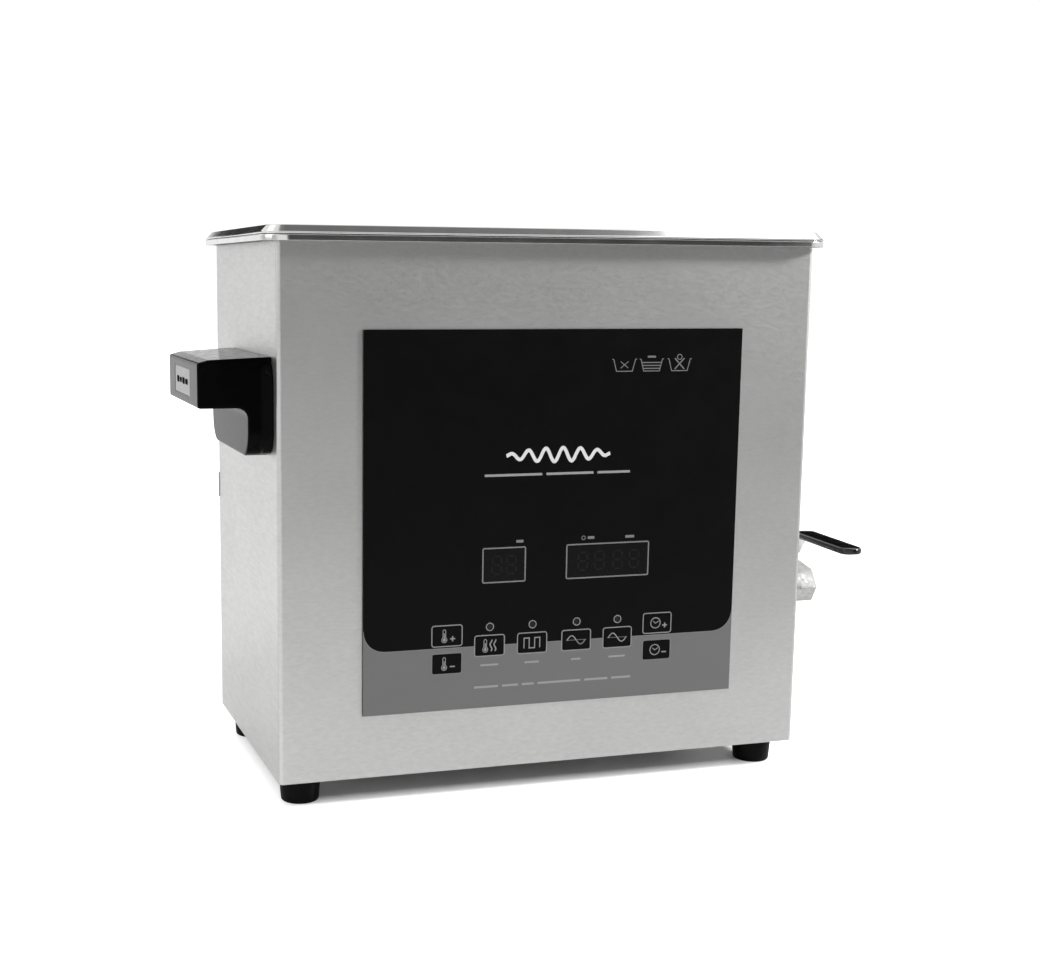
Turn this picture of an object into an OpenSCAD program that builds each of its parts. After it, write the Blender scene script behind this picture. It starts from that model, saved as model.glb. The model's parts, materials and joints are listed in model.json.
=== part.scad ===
// Bench-top ultrasonic cleaner with a six litre tank, a lift-out basket,
// a touch-key control panel, one side handle and a lever drain valve.
// +X is to the right, -Y is the front with the controls, +Z is up.
// Z = 0 is the surface that the four rubber feet stand on.

/* [Casing] */
// Width of the sheet-steel casing
casing_w = 325; // [320:1:340]
// Depth of the casing, front to back
casing_d = 180; // [178:1:190]
// Height of the casing without feet and rim
casing_h = 302; // [296:1:320]
// Thickness of the casing sheet
sheet = 1; // [0.8:0.1:1.2]
// Outside bend radius of the two front corners
bend_r = 2.5; // [2:0.5:4]

/* [Feet] */
// Height of a rubber foot
foot_h = 16; // [12:1:20]
// Radius of a foot where it meets the base
foot_r = 12.25; // [10:0.25:13]
// Distance of the foot centres from the casing's middle, left to right
foot_x = 146; // [140:1:147]
// Distance of the foot centres from the casing's middle, front to back
foot_y = 69; // [64:1:74]

/* [Tank] */
// Inside width of the tank
tank_w = 300; // [290:1:302]
// Inside depth of the tank, front to back
tank_d = 150; // [140:1:152]
// Depth of the tank below its rim
tank_depth = 150; // [120:1:155]
// How far the tank's rim stands out past the casing
rim_out = 8; // [6:0.5:10]
// Height of the folded edge of the rim
rim_h = 3.5; // [3:0.5:5]

/* [Lid and basket] */
// Height of the lid above the rim
lid_h = 5; // [4:0.5:6]
// How far the middle of the lid is sunk into the tank
lid_sink = 12.5; // [10:0.5:14]
// Height of the basket's sides
basket_h = 110; // [80:1:112]

/* [Control panel] */
// Width of the printed overlay
panel_w = 231; // [225:1:236]
// Height of the printed overlay
panel_h = 218; // [210:1:222]
// Height of the overlay's lower edge above the casing's lower edge
panel_rise = 36.5; // [30:0.5:40]
// Thickness of the overlay
overlay_t = 1.2; // [1:0.1:1.5]
// Travel of a key
key_travel = 0.5; // [0.3:0.1:0.5]

/* [Side handle] */
// Distance from the casing's side to the handle's outer face
handle_reach = 41; // [36:1:46]
// Thickness of the grip, top to bottom
grip_h = 28; // [24:1:30]
// Height of the handle's top above the casing's lower edge
handle_top = 239.5; // [220:0.5:245]

/* [Drain valve] */
// Height of the drain axis above the casing's lower edge
drain_rise = 78.6; // [74:0.2:80]
// Distance from the casing's side to the valve's outlet end
drain_reach = 61; // [60:0.5:68]
// Distance across the flats of the valve's ends
valve_flats = 20; // [20:0.5:22]
// Length of the lever from the stem to its tip
lever_len = 96; // [80:1:97]
// Angle by which the shut lever is turned in past square to the flow
lever_rest = 5; // [4:0.5:8]

/* [Hidden] */
$fn = 48;

// Levels and walls of the casing.
base_z = foot_h;
top_z = base_z + casing_h;
side_x = casing_w / 2;
front_y = -casing_d / 2;
back_y = casing_d / 2;
base_t = 1.2;
flange_z = base_z + base_t;
flange_w = 10;
fit_gap = 0.2;

// Half width and half depth of the rim, shared by the lid's edge.
rim_x = side_x + rim_out;
rim_y = back_y + rim_out;
rim_r = 15;
rim_top = top_z + rim_h;
wall = 1;
tank_r = 14;
tank_floor = rim_top - tank_depth;

// The part's origin is the middle of its footprint box, so the casing's middle lies to one side of it.
body_x = (handle_reach - drain_reach) / 2;

// Screws.
screw_r = 2;
head_r = 3.8;
head_h = 2.2;
screw_hole_r = 2.2;

// Drain.
drain_x = 125;
drain_z = base_z + drain_rise;
pipe_r = 8.4;
pipe_bore = 6;
outlet_x = side_x + drain_reach;
valve_len = 40;
inlet_end = outlet_x - valve_len;
stem_x = outlet_x - 18;
ball_r = 8.5;
flow_r = 5;
seat_clear = 0.1;
outlet_thread_r = 7.5;
outlet_thread_l = 8.5;
lever_hub_z = drain_z + 24;
lever_grip_z = drain_z + 39.4;
grip_w = 14.6;
grip_t = 4.2;
grip_start = 29;

// Control panel: the overlay's centre, the board behind it and the face of the keys.
panel_x = 1.2;
panel_z = base_z + panel_rise;
overlay_y = front_y - overlay_t;
board_y = front_y + 10;
board_t = 1.6;
key_w = 17;
key_h = 11;
key_t = 0.6;
key_gap = 0.2;
key_low = base_z + 64.1;
key_mid = base_z + 73.2;
key_high = base_z + 80.4;
led_z = base_z + 84.2;
led_xs = [-38.5, -12.2, 15.5, 41.5];
key_spots = [
    [-64.5, key_high], [-64.5, key_low], [-38.6, key_mid], [-12.3, key_mid],
    [15.4, key_mid], [41.6, key_mid], [67.3, key_high], [67.3, key_low]
];
// Display windows: centre, width and height.
display_z = base_z + 120.1;
displays = [[-30.4, 25, 19], [34.2, 51, 19]];

// Side handle, in front-to-back extents on the left wall.
handle_y0 = -77;
handle_y1 = 35.5;
handle_leg = 13.3;
handle_plate = 5;
handle_low = base_z + 184;
handle_high = base_z + handle_top;
label_y0 = -50;
label_y1 = 1;
label_z0 = base_z + 216.5;
label_z1 = base_z + 231.5;
label_t = 0.6;
handle_screw_spots = [[-60, base_z + 200], [20, base_z + 200], [-60, base_z + 226], [20, base_z + 226]];

// Rear fittings: centre of the fan, the inlet and the switch on the back panel.
fan_x = -92;
fan_z = base_z + 58;
fan_half = 30;
fan_depth = 20;
inlet_x = 100;
inlet_z = base_z + 48;
inlet_pin_spots = [[-7, 0.5], [0, 4.5], [7, 0.5]];
switch_x = 55;
switch_z = inlet_z;
// The rocker's pivot, and half of its swing.
rocker_y = back_y - 3;
rocker_pin_r = 1.2;
rocker_tilt = 12;

// Transducers hang below the tank's floor.
transducer_xs = [-105, -25, 55];
horn_top = tank_floor - wall;
horn_h = 30;
ring_t = 6;
ring_r = 19;
back_h = 22;

// Boards.
main_board = [170, 112, 1.6];
main_board_at = [-40, 0, base_z + base_t + 10];

// Basket.
basket_x = 138;
basket_y = 63;
basket_r = 10;
basket_z = tank_floor + 9;
wire_r = 2;
basket_leg_x = 110;

// Lid.
lid_sheet = 0.8;
lid_slope = 4.5;
pan_x = tank_w / 2 - 2;
pan_y = tank_d / 2 - 2;
lid_top = rim_top + lid_h;
pan_z = rim_top - lid_sink;
lid_handle_x = 46;

// Casing screws: the spots under the base, round the back panel and round the fan.
base_screw_spots = [
    for (x = [-120, 0, 120]) [x, front_y + 8],
    for (s = [-1, 1]) for (y = [-35, 35]) [s * (side_x - 8), y]
];
back_screw_spots = [for (s = [-1, 1]) for (z = [40, 150, 285]) [s * (side_x - 8), base_z + z]];
fan_screw_spots = [for (sx = [-1, 1]) for (sz = [-1, 1]) [fan_x + sx * 25, fan_z + sz * 25]];
main_board_spots = [
    for (sx = [-1, 1]) for (sy = [-1, 1])
        [main_board_at[0] + sx * (main_board[0] / 2 - 6), main_board_at[1] + sy * (main_board[1] / 2 - 6)]
];
control_board_spots = [for (x = [-82, 85]) for (z = [58, 142]) [x, base_z + z]];

// ---- Shared shapes ----

// Moves a piece from the casing's frame to the part's frame.
module place() {
    translate([body_x, 0, 0]) children();
}

// Flat rectangle with round corners, from its half sizes.
module rounded(hx, hy, r) {
    square([2 * (hx - r), 2 * hy], center = true);
    square([2 * hx, 2 * (hy - r)], center = true);
    for (sx = [-1, 1]) for (sy = [-1, 1]) translate([sx * (hx - r), sy * (hy - r)]) circle(r = r);
}

// Rounded plate or block between two heights.
module slab(hx, hy, r, z0, z1) {
    translate([0, 0, z0]) linear_extrude(z1 - z0) rounded(hx, hy, r);
}

// Box given by two opposite corners.
module block(a, b) {
    translate(a) cube(b - a);
}

// Cylinder along X, from x0 to x1.
module rod_x(r, x0, x1, y = 0, z = 0) {
    translate([x0, y, z]) rotate([0, 90, 0]) cylinder(r = r, h = x1 - x0);
}

// Cylinder along Y, from y0 to y1.
module rod_y(r, y0, y1, x = 0, z = 0) {
    translate([x, y0, z]) rotate([-90, 0, 0]) cylinder(r = r, h = y1 - y0);
}

// Cylinder along Z, from z0 to z1.
module rod_z(r, z0, z1, x = 0, y = 0) {
    translate([x, y, z0]) cylinder(r = r, h = z1 - z0);
}

// Hexagonal bar along X with flats above and below, from its distance across flats.
module hex_x(flats, x0, x1, z) {
    translate([x0, 0, z]) rotate([0, 90, 0]) rotate(90)
        cylinder(r = flats / sqrt(3), h = x1 - x0, $fn = 6);
}

// Hexagonal bar along Z.
module hex_z(flats, z0, z1, x, y) {
    translate([x, y, z0]) cylinder(r = flats / sqrt(3), h = z1 - z0, $fn = 6);
}

// Pan-head screw that points along +Z, with its head below the origin.
module screw(length) {
    rotate_extrude() polygon([[0, -head_h], [head_r * 0.6, -head_h], [head_r, -head_h * 0.5],
        [head_r, 0], [screw_r, 0], [screw_r, length], [0, length]]);
}

// Round wire bent to a rounded rectangle, lying flat at height z.
module wire_loop(hx, hy, corner, r, z) {
    translate([0, 0, z]) {
        for (s = [-1, 1]) {
            rod_x(r, -(hx - corner), hx - corner, s * hy, 0);
            rod_y(r, -(hy - corner), hy - corner, s * hx, 0);
        }
        for (q = [0:3]) {
            sx = (q == 0 || q == 3) ? 1 : -1;
            sy = q < 2 ? 1 : -1;
            translate([sx * (hx - corner), sy * (hy - corner), 0]) rotate(q * 90)
                rotate_extrude(angle = 90) translate([corner, 0]) circle(r = r);
        }
    }
}

// Deep-drawn tub with round upright corners and a rounded bottom edge.
module tub(hx, hy, r, z0, z1, fillet) {
    steps = 5;
    edge = [for (i = [0:steps]) let (a = 90 * i / steps) [r - fillet + fillet * sin(a),
        z0 + fillet - fillet * cos(a)]];
    hull() for (sx = [-1, 1]) for (sy = [-1, 1])
        translate([sx * (hx - r), sy * (hy - r), 0])
            rotate_extrude($fn = 32) polygon(concat([[0, z0]], edge, [[r, z1], [0, z1]]));
}

// ---- Casing ----

// Plan of the sheet: front and two sides, with round bends between them.
module wrap_outline() {
    difference() {
        union() {
            translate([-side_x, front_y + bend_r]) square([casing_w, casing_d - bend_r]);
            translate([-side_x + bend_r, front_y]) square([casing_w - 2 * bend_r, casing_d]);
            for (s = [-1, 1]) translate([s * (side_x - bend_r), front_y + bend_r]) circle(r = bend_r);
        }
        translate([-side_x + sheet, front_y + bend_r]) square([casing_w - 2 * sheet, casing_d]);
        translate([-side_x + bend_r, front_y + sheet]) square([casing_w - 2 * bend_r, casing_d]);
        for (s = [-1, 1]) translate([s * (side_x - bend_r), front_y + bend_r]) circle(r = bend_r - sheet);
    }
}

module casing_wrap() {
    inner_x = side_x - sheet;
    inner_y = back_y - sheet;
    color("silver") difference() {
        union() {
            translate([0, 0, base_z]) linear_extrude(casing_h) wrap_outline();
            // Turned-in edges at the bottom, for the base plate.
            for (s = [-1, 1])
                block([s > 0 ? inner_x - flange_w : -inner_x - 0.5, front_y + 15, flange_z],
                    [s > 0 ? inner_x + 0.5 : -inner_x + flange_w, inner_y - 4, flange_z + sheet]);
            block([-inner_x + 15, front_y + sheet - 0.5, flange_z],
                [inner_x - 15, front_y + sheet + flange_w, flange_z + sheet]);
            // Turned-in edges at the back, for the back panel.
            for (s = [-1, 1])
                block([s > 0 ? inner_x - flange_w : -inner_x - 0.5, inner_y - sheet, base_z + 20],
                    [s > 0 ? inner_x + 0.5 : -inner_x + flange_w, inner_y, top_z - 6]);
        }
        for (p = base_screw_spots) rod_z(screw_hole_r, flange_z - 1, flange_z + 3, p[0], p[1]);
        for (p = back_screw_spots) rod_y(screw_hole_r, inner_y - 3, inner_y + 2, p[0], p[1]);
        // Notches that take the back panel's tabs.
        for (s = [-1, 1])
            block([s * (side_x + 0.5) - 1.5, inner_y - 0.1, base_z + 139.8],
                [s * (side_x + 0.5) + 1.5, back_y + 1, base_z + 156.2]);
        // Openings behind the overlay.
        for (d = displays)
            block([d[0] - d[1] / 2 + 1, front_y - 1, display_z - d[2] / 2 + 1],
                [d[0] + d[1] / 2 - 1, front_y + 3, display_z + d[2] / 2 - 1]);
        for (p = key_spots) rod_y(2.6, front_y - 1, front_y + 3, p[0], p[1]);
        for (x = led_xs) rod_y(1.8, front_y - 1, front_y + 3, x, led_z);
        for (p = handle_screw_spots) rod_x(screw_hole_r, -side_x - 1, -side_x + 3, p[0], p[1]);
        rod_x(pipe_r + 0.2, side_x - 3, side_x + 1, 0, drain_z);
    }
}

module back_panel() {
    half = side_x - sheet - fit_gap;
    color("silver") difference() {
        union() {
            block([-half, back_y - sheet, base_z + base_t + 0.3], [half, back_y, top_z - 0.3]);
            for (s = [-1, 1])
                block([s > 0 ? half - 1 : -side_x - 0.7, back_y - sheet + 0.1, base_z + 140],
                    [s > 0 ? side_x + 0.7 : -half + 1, back_y, base_z + 156]);
        }
        for (p = concat(back_screw_spots, fan_screw_spots))
            rod_y(screw_hole_r, back_y - 3, back_y + 2, p[0], p[1]);
        rod_y(fan_half - 1.5, back_y - 3, back_y + 2, fan_x, fan_z);
        block([inlet_x - 13.8, back_y - 3, inlet_z - 10.2], [inlet_x + 13.8, back_y + 2, inlet_z + 10.2]);
        block([switch_x - 9.7, back_y - 3, switch_z - 6.7], [switch_x + 9.7, back_y + 2, switch_z + 6.7]);
        // Two banks of cooling louvres.
        for (i = [0:7]) block([60 + i * 10, back_y - 3, base_z + 95],
            [64 + i * 10, back_y + 2, base_z + 125]);
        for (i = [0:7]) block([-135 + i * 10, back_y - 3, base_z + 110],
            [-131 + i * 10, back_y + 2, base_z + 140]);
    }
}

module base_plate() {
    half = side_x - sheet - fit_gap;
    front = front_y + sheet + fit_gap;
    corner = 2;
    vents = 17;
    pitch = 15;
    color("silver") difference() {
        translate([0, 0, base_z]) linear_extrude(base_t)
            polygon([[-half + corner, front], [half - corner, front], [half, front + corner],
                [half, back_y - 0.1],
                [-half, back_y - 0.1], [-half, front + corner]]);
        for (i = [0:vents - 1]) for (y = [front_y + 22, 20])
            block([(i - (vents - 1) / 2) * pitch - 1.5, y, base_z - 1],
                [(i - (vents - 1) / 2) * pitch + 1.5, y + 18, base_z + 3]);
        for (p = base_screw_spots) rod_z(screw_hole_r, base_z - 1, base_z + 3, p[0], p[1]);
        for (sx = [-1, 1]) for (sy = [-1, 1])
            rod_z(screw_hole_r, base_z - 1, base_z + 3, sx * foot_x, sy * foot_y);
        for (p = main_board_spots) rod_z(1.7, base_z - 1, base_z + 3, p[0], p[1]);
    }
}

module rubber_feet() {
    lower_r = foot_r - 1.15;
    edge_r = 1.5;
    edge = [for (a = [0:30:90]) [lower_r - edge_r + edge_r * sin(a), edge_r - edge_r * cos(a)]];
    color([0.06, 0.06, 0.06]) for (sx = [-1, 1]) for (sy = [-1, 1])
        translate([sx * foot_x, sy * foot_y, 0])
        rotate_extrude() polygon(concat([[4.6, 0]], edge, [[foot_r, base_z], [screw_hole_r, base_z],
            [screw_hole_r, 7], [4.6, 7]]));
}

module foot_screws() {
    color("gainsboro") for (sx = [-1, 1]) for (sy = [-1, 1]) {
        translate([sx * foot_x, sy * foot_y, 7]) screw(flange_z + sheet + 3.5 - 7);
        difference() {
            hex_z(7, flange_z, flange_z + 3, sx * foot_x, sy * foot_y);
            rod_z(screw_r + 0.05, base_z, base_z + 9, sx * foot_x, sy * foot_y);
        }
    }
}

module panel_screws() {
    color("gainsboro") {
        for (p = base_screw_spots) translate([p[0], p[1], base_z]) screw(6);
        for (p = back_screw_spots) translate([p[0], back_y, p[1]]) rotate([90, 0, 0]) screw(6);
        for (p = fan_screw_spots) translate([p[0], back_y + 2.4, p[1]]) rotate([90, 0, 0]) screw(10);
        for (p = handle_screw_spots) translate([-side_x + sheet, p[0], p[1]]) rotate([0, -90, 0])
            screw(10);
    }
}

// ---- Tank ----

module tank() {
    hx = tank_w / 2;
    hy = tank_d / 2;
    color("lightgray") difference() {
        union() {
            tub(hx + wall, hy + wall, tank_r + wall, tank_floor - wall, rim_top - 0.5, 9);
            slab(rim_x, rim_y, rim_r, rim_top - wall, rim_top);
            difference() {
                slab(rim_x, rim_y, rim_r, top_z, rim_top);
                slab(rim_x - wall, rim_y - wall, rim_r - wall, top_z - 1, rim_top - wall / 2);
            }
        }
        tub(hx, hy, tank_r, tank_floor, rim_top + 1, 8);
        rod_z(9.2, tank_floor - 3, tank_floor + 3, drain_x, 0);
    }
}

module rim_seal() {
    color("gray") difference() {
        slab(side_x + 1.5, back_y + 1.5, 4, top_z, rim_top - wall);
        slab(side_x - 6, back_y - 6, 3, top_z - 1, rim_top);
    }
}

module heater_pads() {
    color("orangered") for (s = [-1, 1])
        translate([0, s * (tank_d / 2 + wall + 0.75), tank_floor + 60]) rotate([90, 0, 0])
            translate([0, 0, -0.75]) linear_extrude(1.5) rounded(110, 42, 6);
}

module temperature_sensor() {
    x0 = tank_w / 2 + wall;
    color("gainsboro") {
        rod_x(8, x0, x0 + 5, 30, tank_floor + 30);
        for (s = [-1, 1]) block([x0 + 5, 30 + s * 4 - 1, tank_floor + 27],
            [x0 + 5.8, 30 + s * 4 + 1, tank_floor + 37]);
    }
}

// ---- Transducers ----

module transducer_horns() {
    color("silver") for (x = transducer_xs) translate([x, 0, horn_top - horn_h]) difference() {
        cylinder(r1 = ring_r, r2 = 28, h = horn_h);
        translate([0, 0, -1]) cylinder(r = 5.2, h = 21);
    }
}

module piezo_rings() {
    color("tan") for (x = transducer_xs) for (i = [0, 1])
        translate([x, 0, horn_top - horn_h - (i + 1) * (ring_t + 0.3)]) difference() {
            cylinder(r = ring_r, h = ring_t);
            translate([0, 0, -1]) cylinder(r = 7.5, h = ring_t + 2);
        }
}

module transducer_back_masses() {
    top = horn_top - horn_h - 2 * (ring_t + 0.3) - 0.3;
    color("dimgray") for (x = transducer_xs) difference() {
        rod_z(ring_r, top - back_h, top, x);
        rod_z(5.2, top - back_h - 1, top + 1, x);
    }
}

module transducer_bolts() {
    seat = horn_top - horn_h - 2 * (ring_t + 0.3) - 0.3 - back_h;
    color("gray") for (x = transducer_xs) difference() {
        union() {
            rod_z(8, seat - 9, seat, x);
            rod_z(5, seat - 1, horn_top - horn_h + 18, x);
        }
        hex_z(8, seat - 10, seat - 4, x, 0);
    }
}

// ---- Drain ----

module drain_fitting() {
    color("gainsboro") difference() {
        union() {
            rod_z(16, tank_floor, tank_floor + 1.5, drain_x);
            rod_z(8.9, tank_floor - 34, tank_floor + 1, drain_x);
        }
        rod_z(pipe_bore, tank_floor - 35, tank_floor + 3, drain_x);
    }
}

module drain_seals() {
    color([0.1, 0.1, 0.1]) {
        difference() {
            rod_z(15, tank_floor - wall - 2, tank_floor - wall, drain_x);
            rod_z(9, tank_floor - 5, tank_floor + 1, drain_x);
        }
        for (x = [side_x - sheet - 1.5, side_x]) difference() {
            rod_x(14, x, x + 1.5, 0, drain_z);
            rod_x(pipe_r + 0.1, x - 1, x + 3, 0, drain_z);
        }
    }
}

module drain_lock_nuts() {
    color("gainsboro") {
        difference() {
            hex_z(26, tank_floor - wall - 8, tank_floor - wall - 2, drain_x, 0);
            rod_z(9, tank_floor - 12, tank_floor, drain_x);
        }
        for (x = [side_x - sheet - 7, side_x + 1.5]) difference() {
            hex_x(24, x, x + 5.5, drain_z);
            rod_x(pipe_r + 0.1, x - 1, x + 7, 0, drain_z);
        }
    }
}

module drain_elbow() {
    end_x = side_x - sheet - 8;
    top = tank_floor - 14;
    color("goldenrod") difference() {
        union() {
            rod_z(11.5, drain_z, top, drain_x);
            rod_x(11.5, drain_x, end_x, 0, drain_z);
            translate([drain_x, 0, drain_z]) sphere(r = 11.5);
        }
        rod_z(9, top - 24, top + 1, drain_x);
        rod_z(pipe_bore, drain_z, top, drain_x);
        rod_x(pipe_r + 0.1, end_x - 14, end_x + 1, 0, drain_z);
        rod_x(pipe_bore, drain_x, end_x, 0, drain_z);
    }
}

module drain_nipple() {
    color("gainsboro") difference() {
        rod_x(pipe_r, side_x - sheet - 20, inlet_end + 8, 0, drain_z);
        rod_x(pipe_bore, side_x - 40, outlet_x, 0, drain_z);
    }
}

module valve_body() {
    socket_l = 8.2;
    saddle_top = drain_z + 18;
    color("gainsboro") difference() {
        union() {
            hex_x(valve_flats, inlet_end, inlet_end + 9, drain_z);
            hex_x(valve_flats, outlet_x - 12, outlet_x, drain_z);
            rod_x(valve_flats / 2 + 0.9, inlet_end + 8, outlet_x - 11, 0, drain_z);
            // Sloping saddle that rises to the stem's boss.
            translate([stem_x, 6, 0]) rotate([90, 0, 0]) linear_extrude(12)
                polygon([[-17, drain_z + 8], [17, drain_z + 8], [17, drain_z + 11.5], [7.5, saddle_top],
                    [-7.5, saddle_top], [-17, drain_z + 11.5]]);
            rod_z(7.5, drain_z, saddle_top, stem_x);
        }
        // Outlet thread, ball chamber, inlet socket and the way through.
        rod_x(outlet_thread_r, outlet_x - outlet_thread_l, outlet_x + 1, 0, drain_z);
        rod_x(flow_r, inlet_end + 5, outlet_x - 5, 0, drain_z);
        rod_x(pipe_r + 0.1, inlet_end - 1, inlet_end + socket_l, 0, drain_z);
        rod_x(ball_r + 0.4, stem_x - 9.5, outlet_x - outlet_thread_l - 0.5, 0, drain_z);
        rod_z(3.1, drain_z, saddle_top + 1, stem_x);
    }
}

// Seat ring whose sloping face looks towards the ball's centre, drawn along +Z.
module seat_ring(outer_end) {
    // A 45 degree line that passes the ball at the seat's clearance.
    sum = (ball_r + seat_clear) * sqrt(2);
    rim = ball_r - 0.6;
    rotate_extrude() polygon([[flow_r, sum - flow_r], [rim, sum - rim], [ball_r + 0.3, sum - rim],
        [ball_r + 0.3, outer_end], [flow_r, outer_end]]);
}

module valve_seats() {
    color("white") translate([stem_x, 0, drain_z]) {
        rotate([0, 90, 0]) seat_ring(18 - outlet_thread_l - 0.6);
        rotate([0, -90, 0]) seat_ring(9.4);
    }
}

module packing_nut() {
    color("gainsboro") difference() {
        hex_z(13, drain_z + 18, drain_z + 23, stem_x, 0);
        rod_z(3.1, drain_z + 17, drain_z + 24, stem_x);
    }
}

// Turns a piece that was drawn with the valve open to where the shut valve holds it.
module shut() {
    translate([stem_x, 0, 0]) rotate(-90 - lever_rest) children();
}

// Side view of the cranked lever, thickened by grow on every face.
module lever_side(grow = 0) {
    t = 2;
    hub = lever_hub_z;
    grip = lever_grip_z - t / 2;
    end = lever_len + 5;
    polygon([[-12, hub - grow], [10, hub - grow], [22 + grow, grip - grow], [end, grip - grow],
        [end, grip + t + grow], [21 - grow, grip + t + grow], [9 - grow, hub + t + grow],
            [-12, hub + t + grow]]);
}

module lever_strip(grow, tip) {
    half = grip_w / 2 - 1.8 + grow;
    intersection() {
        translate([0, 20, 0]) rotate([90, 0, 0]) linear_extrude(40) lever_side(grow);
        translate([0, 0, drain_z]) linear_extrude(60) {
            circle(r = 8 + grow);
            translate([0, -half]) square([tip - half, 2 * half]);
            translate([tip - half, 0]) circle(r = half);
        }
    }
}

module valve_lever() {
    color("silver") shut() difference() {
        lever_strip(0, lever_len - 2);
        rod_z(2.55, lever_hub_z - 1, lever_hub_z + 4);
    }
}

module lever_grip() {
    half = grip_w / 2;
    color([0.05, 0.05, 0.05]) shut() difference() {
        translate([0, 0, lever_grip_z - grip_t / 2]) linear_extrude(grip_t) {
            translate([grip_start, 0]) circle(r = half);
            translate([grip_start, -half]) square([lever_len - half - grip_start, 2 * half]);
            translate([lever_len - half, 0]) circle(r = half);
        }
        lever_strip(0.05, lever_len - 1.9);
    }
}

module valve_stem() {
    color("gainsboro") shut() {
        rod_z(3, drain_z + 6.5, lever_hub_z);
        rod_z(2.5, lever_hub_z, lever_hub_z + 8);
        difference() {
            hex_z(8, lever_hub_z + 2, lever_hub_z + 6, 0, 0);
            rod_z(2.55, lever_hub_z, lever_hub_z + 9);
        }
    }
}

module valve_ball() {
    color("whitesmoke") shut() difference() {
        translate([0, 0, drain_z]) sphere(r = ball_r);
        rod_x(flow_r, -20, 20, 0, drain_z);
        rod_z(3.05, drain_z + 6.5, drain_z + 20);
    }
}

// ---- Control panel ----

module control_overlay() {
    half = panel_w / 2;
    color([0.08, 0.08, 0.08]) difference() {
        block([panel_x - half, overlay_y, panel_z], [panel_x + half, front_y, panel_z + panel_h]);
        for (p = key_spots)
            block([p[0] - key_w / 2 - key_gap, overlay_y - 1, p[1] - key_h / 2 - key_gap],
                [p[0] + key_w / 2 + key_gap, front_y + 1, p[1] + key_h / 2 + key_gap]);
        for (d = displays)
            block([d[0] - d[1] / 2, overlay_y - 1, display_z - d[2] / 2],
                [d[0] + d[1] / 2, front_y + 1, display_z + d[2] / 2]);
        for (x = led_xs) rod_y(1.8, overlay_y - 1, front_y + 1, x, led_z);
    }
}

module display_windows() {
    color([0.03, 0.03, 0.03]) for (d = displays)
        block([d[0] - d[1] / 2, overlay_y, display_z - d[2] / 2],
            [d[0] + d[1] / 2, front_y, display_z + d[2] / 2]);
}

module control_board() {
    color("darkgreen") difference() {
        block([-88, board_y, base_z + 52], [91, board_y + board_t, base_z + 148]);
        for (p = control_board_spots) rod_y(1.7, board_y - 1, board_y + 3, p[0], p[1]);
    }
}

module display_modules() {
    color([0.15, 0.15, 0.15]) for (d = displays)
        block([d[0] - d[1] / 2 - 0.5, front_y + sheet + 0.3, display_z - 10],
            [d[0] + d[1] / 2 + 0.5, board_y, display_z + 10]);
}

module tact_switches() {
    color([0.2, 0.2, 0.2]) for (p = key_spots) difference() {
        block([p[0] - 3, board_y - 4, p[1] - 3], [p[0] + 3, board_y, p[1] + 3]);
        rod_y(1.9, board_y - 5, board_y - 1.5, p[0], p[1]);
    }
}

module indicator_leds() {
    color("palegreen") for (x = led_xs) {
        rod_y(1.5, overlay_y + 0.2, board_y, x, led_z);
        rod_y(1.75, board_y - 1.2, board_y, x, led_z);
    }
}

// One key: a pad in the overlay's opening and a plunger that reaches into its switch.
module key(i) {
    p = key_spots[i];
    color([0.08, 0.08, 0.08]) {
        block([p[0] - key_w / 2, overlay_y, p[1] - key_h / 2],
            [p[0] + key_w / 2, overlay_y + key_t, p[1] + key_h / 2]);
        rod_y(1.7, overlay_y + key_t / 2, board_y - 1.9 - key_travel, p[0], p[1]);
    }
}

// ---- Generator ----

module generator_board() {
    at = main_board_at;
    color("darkgreen") difference() {
        block([at[0] - main_board[0] / 2, at[1] - main_board[1] / 2, at[2]],
            [at[0] + main_board[0] / 2, at[1] + main_board[1] / 2, at[2] + main_board[2]]);
        for (p = main_board_spots) rod_z(1.7, at[2] - 1, at[2] + 3, p[0], p[1]);
    }
}

module board_standoffs() {
    color("gold") {
        for (p = main_board_spots) difference() {
            hex_z(6, base_z + base_t, main_board_at[2], p[0], p[1]);
            rod_z(1.5, base_z, main_board_at[2] + 1, p[0], p[1]);
        }
        for (p = control_board_spots) difference() {
            rod_y(3, front_y + sheet, board_y, p[0], p[1]);
            rod_y(1.5, front_y + sheet + 1, board_y + 1, p[0], p[1]);
        }
    }
}

module heat_sink() {
    z0 = main_board_at[2] + main_board[2];
    fins = 9;
    color("gray") translate([main_board_at[0] - 70, -30, z0]) {
        block([0, 0, 0], [4, 70, 40]);
        for (i = [0:fins - 1]) block([3.5, i * 8.5, 0], [28, i * 8.5 + 2, 40]);
    }
}

module toroidal_coil() {
    color("peru") translate([main_board_at[0] + 40, main_board_at[1] + 10,
        main_board_at[2] + main_board[2] + 11])
        rotate_extrude() translate([19, 0]) circle(r = 11);
}

// ---- Side handle ----

// Section of the grip and its leg, seen from the front.
module handle_section() {
    wall_x = -side_x;
    leg_x = wall_x - handle_leg;
    face_x = wall_x - handle_reach;
    grip_low = handle_high - grip_h;
    fillet_r = 6;
    difference() {
        polygon([[leg_x, handle_low], [wall_x, handle_low], [wall_x, handle_high],
            [face_x + 7, handle_high - 1.5],
            [face_x, handle_high - 3.2], [face_x, grip_low + 0.8], [face_x + 0.8, grip_low],
            [leg_x - fillet_r, grip_low], [leg_x, grip_low - fillet_r]]);
        translate([leg_x - fillet_r, grip_low - fillet_r]) circle(r = fillet_r);
    }
}

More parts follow.
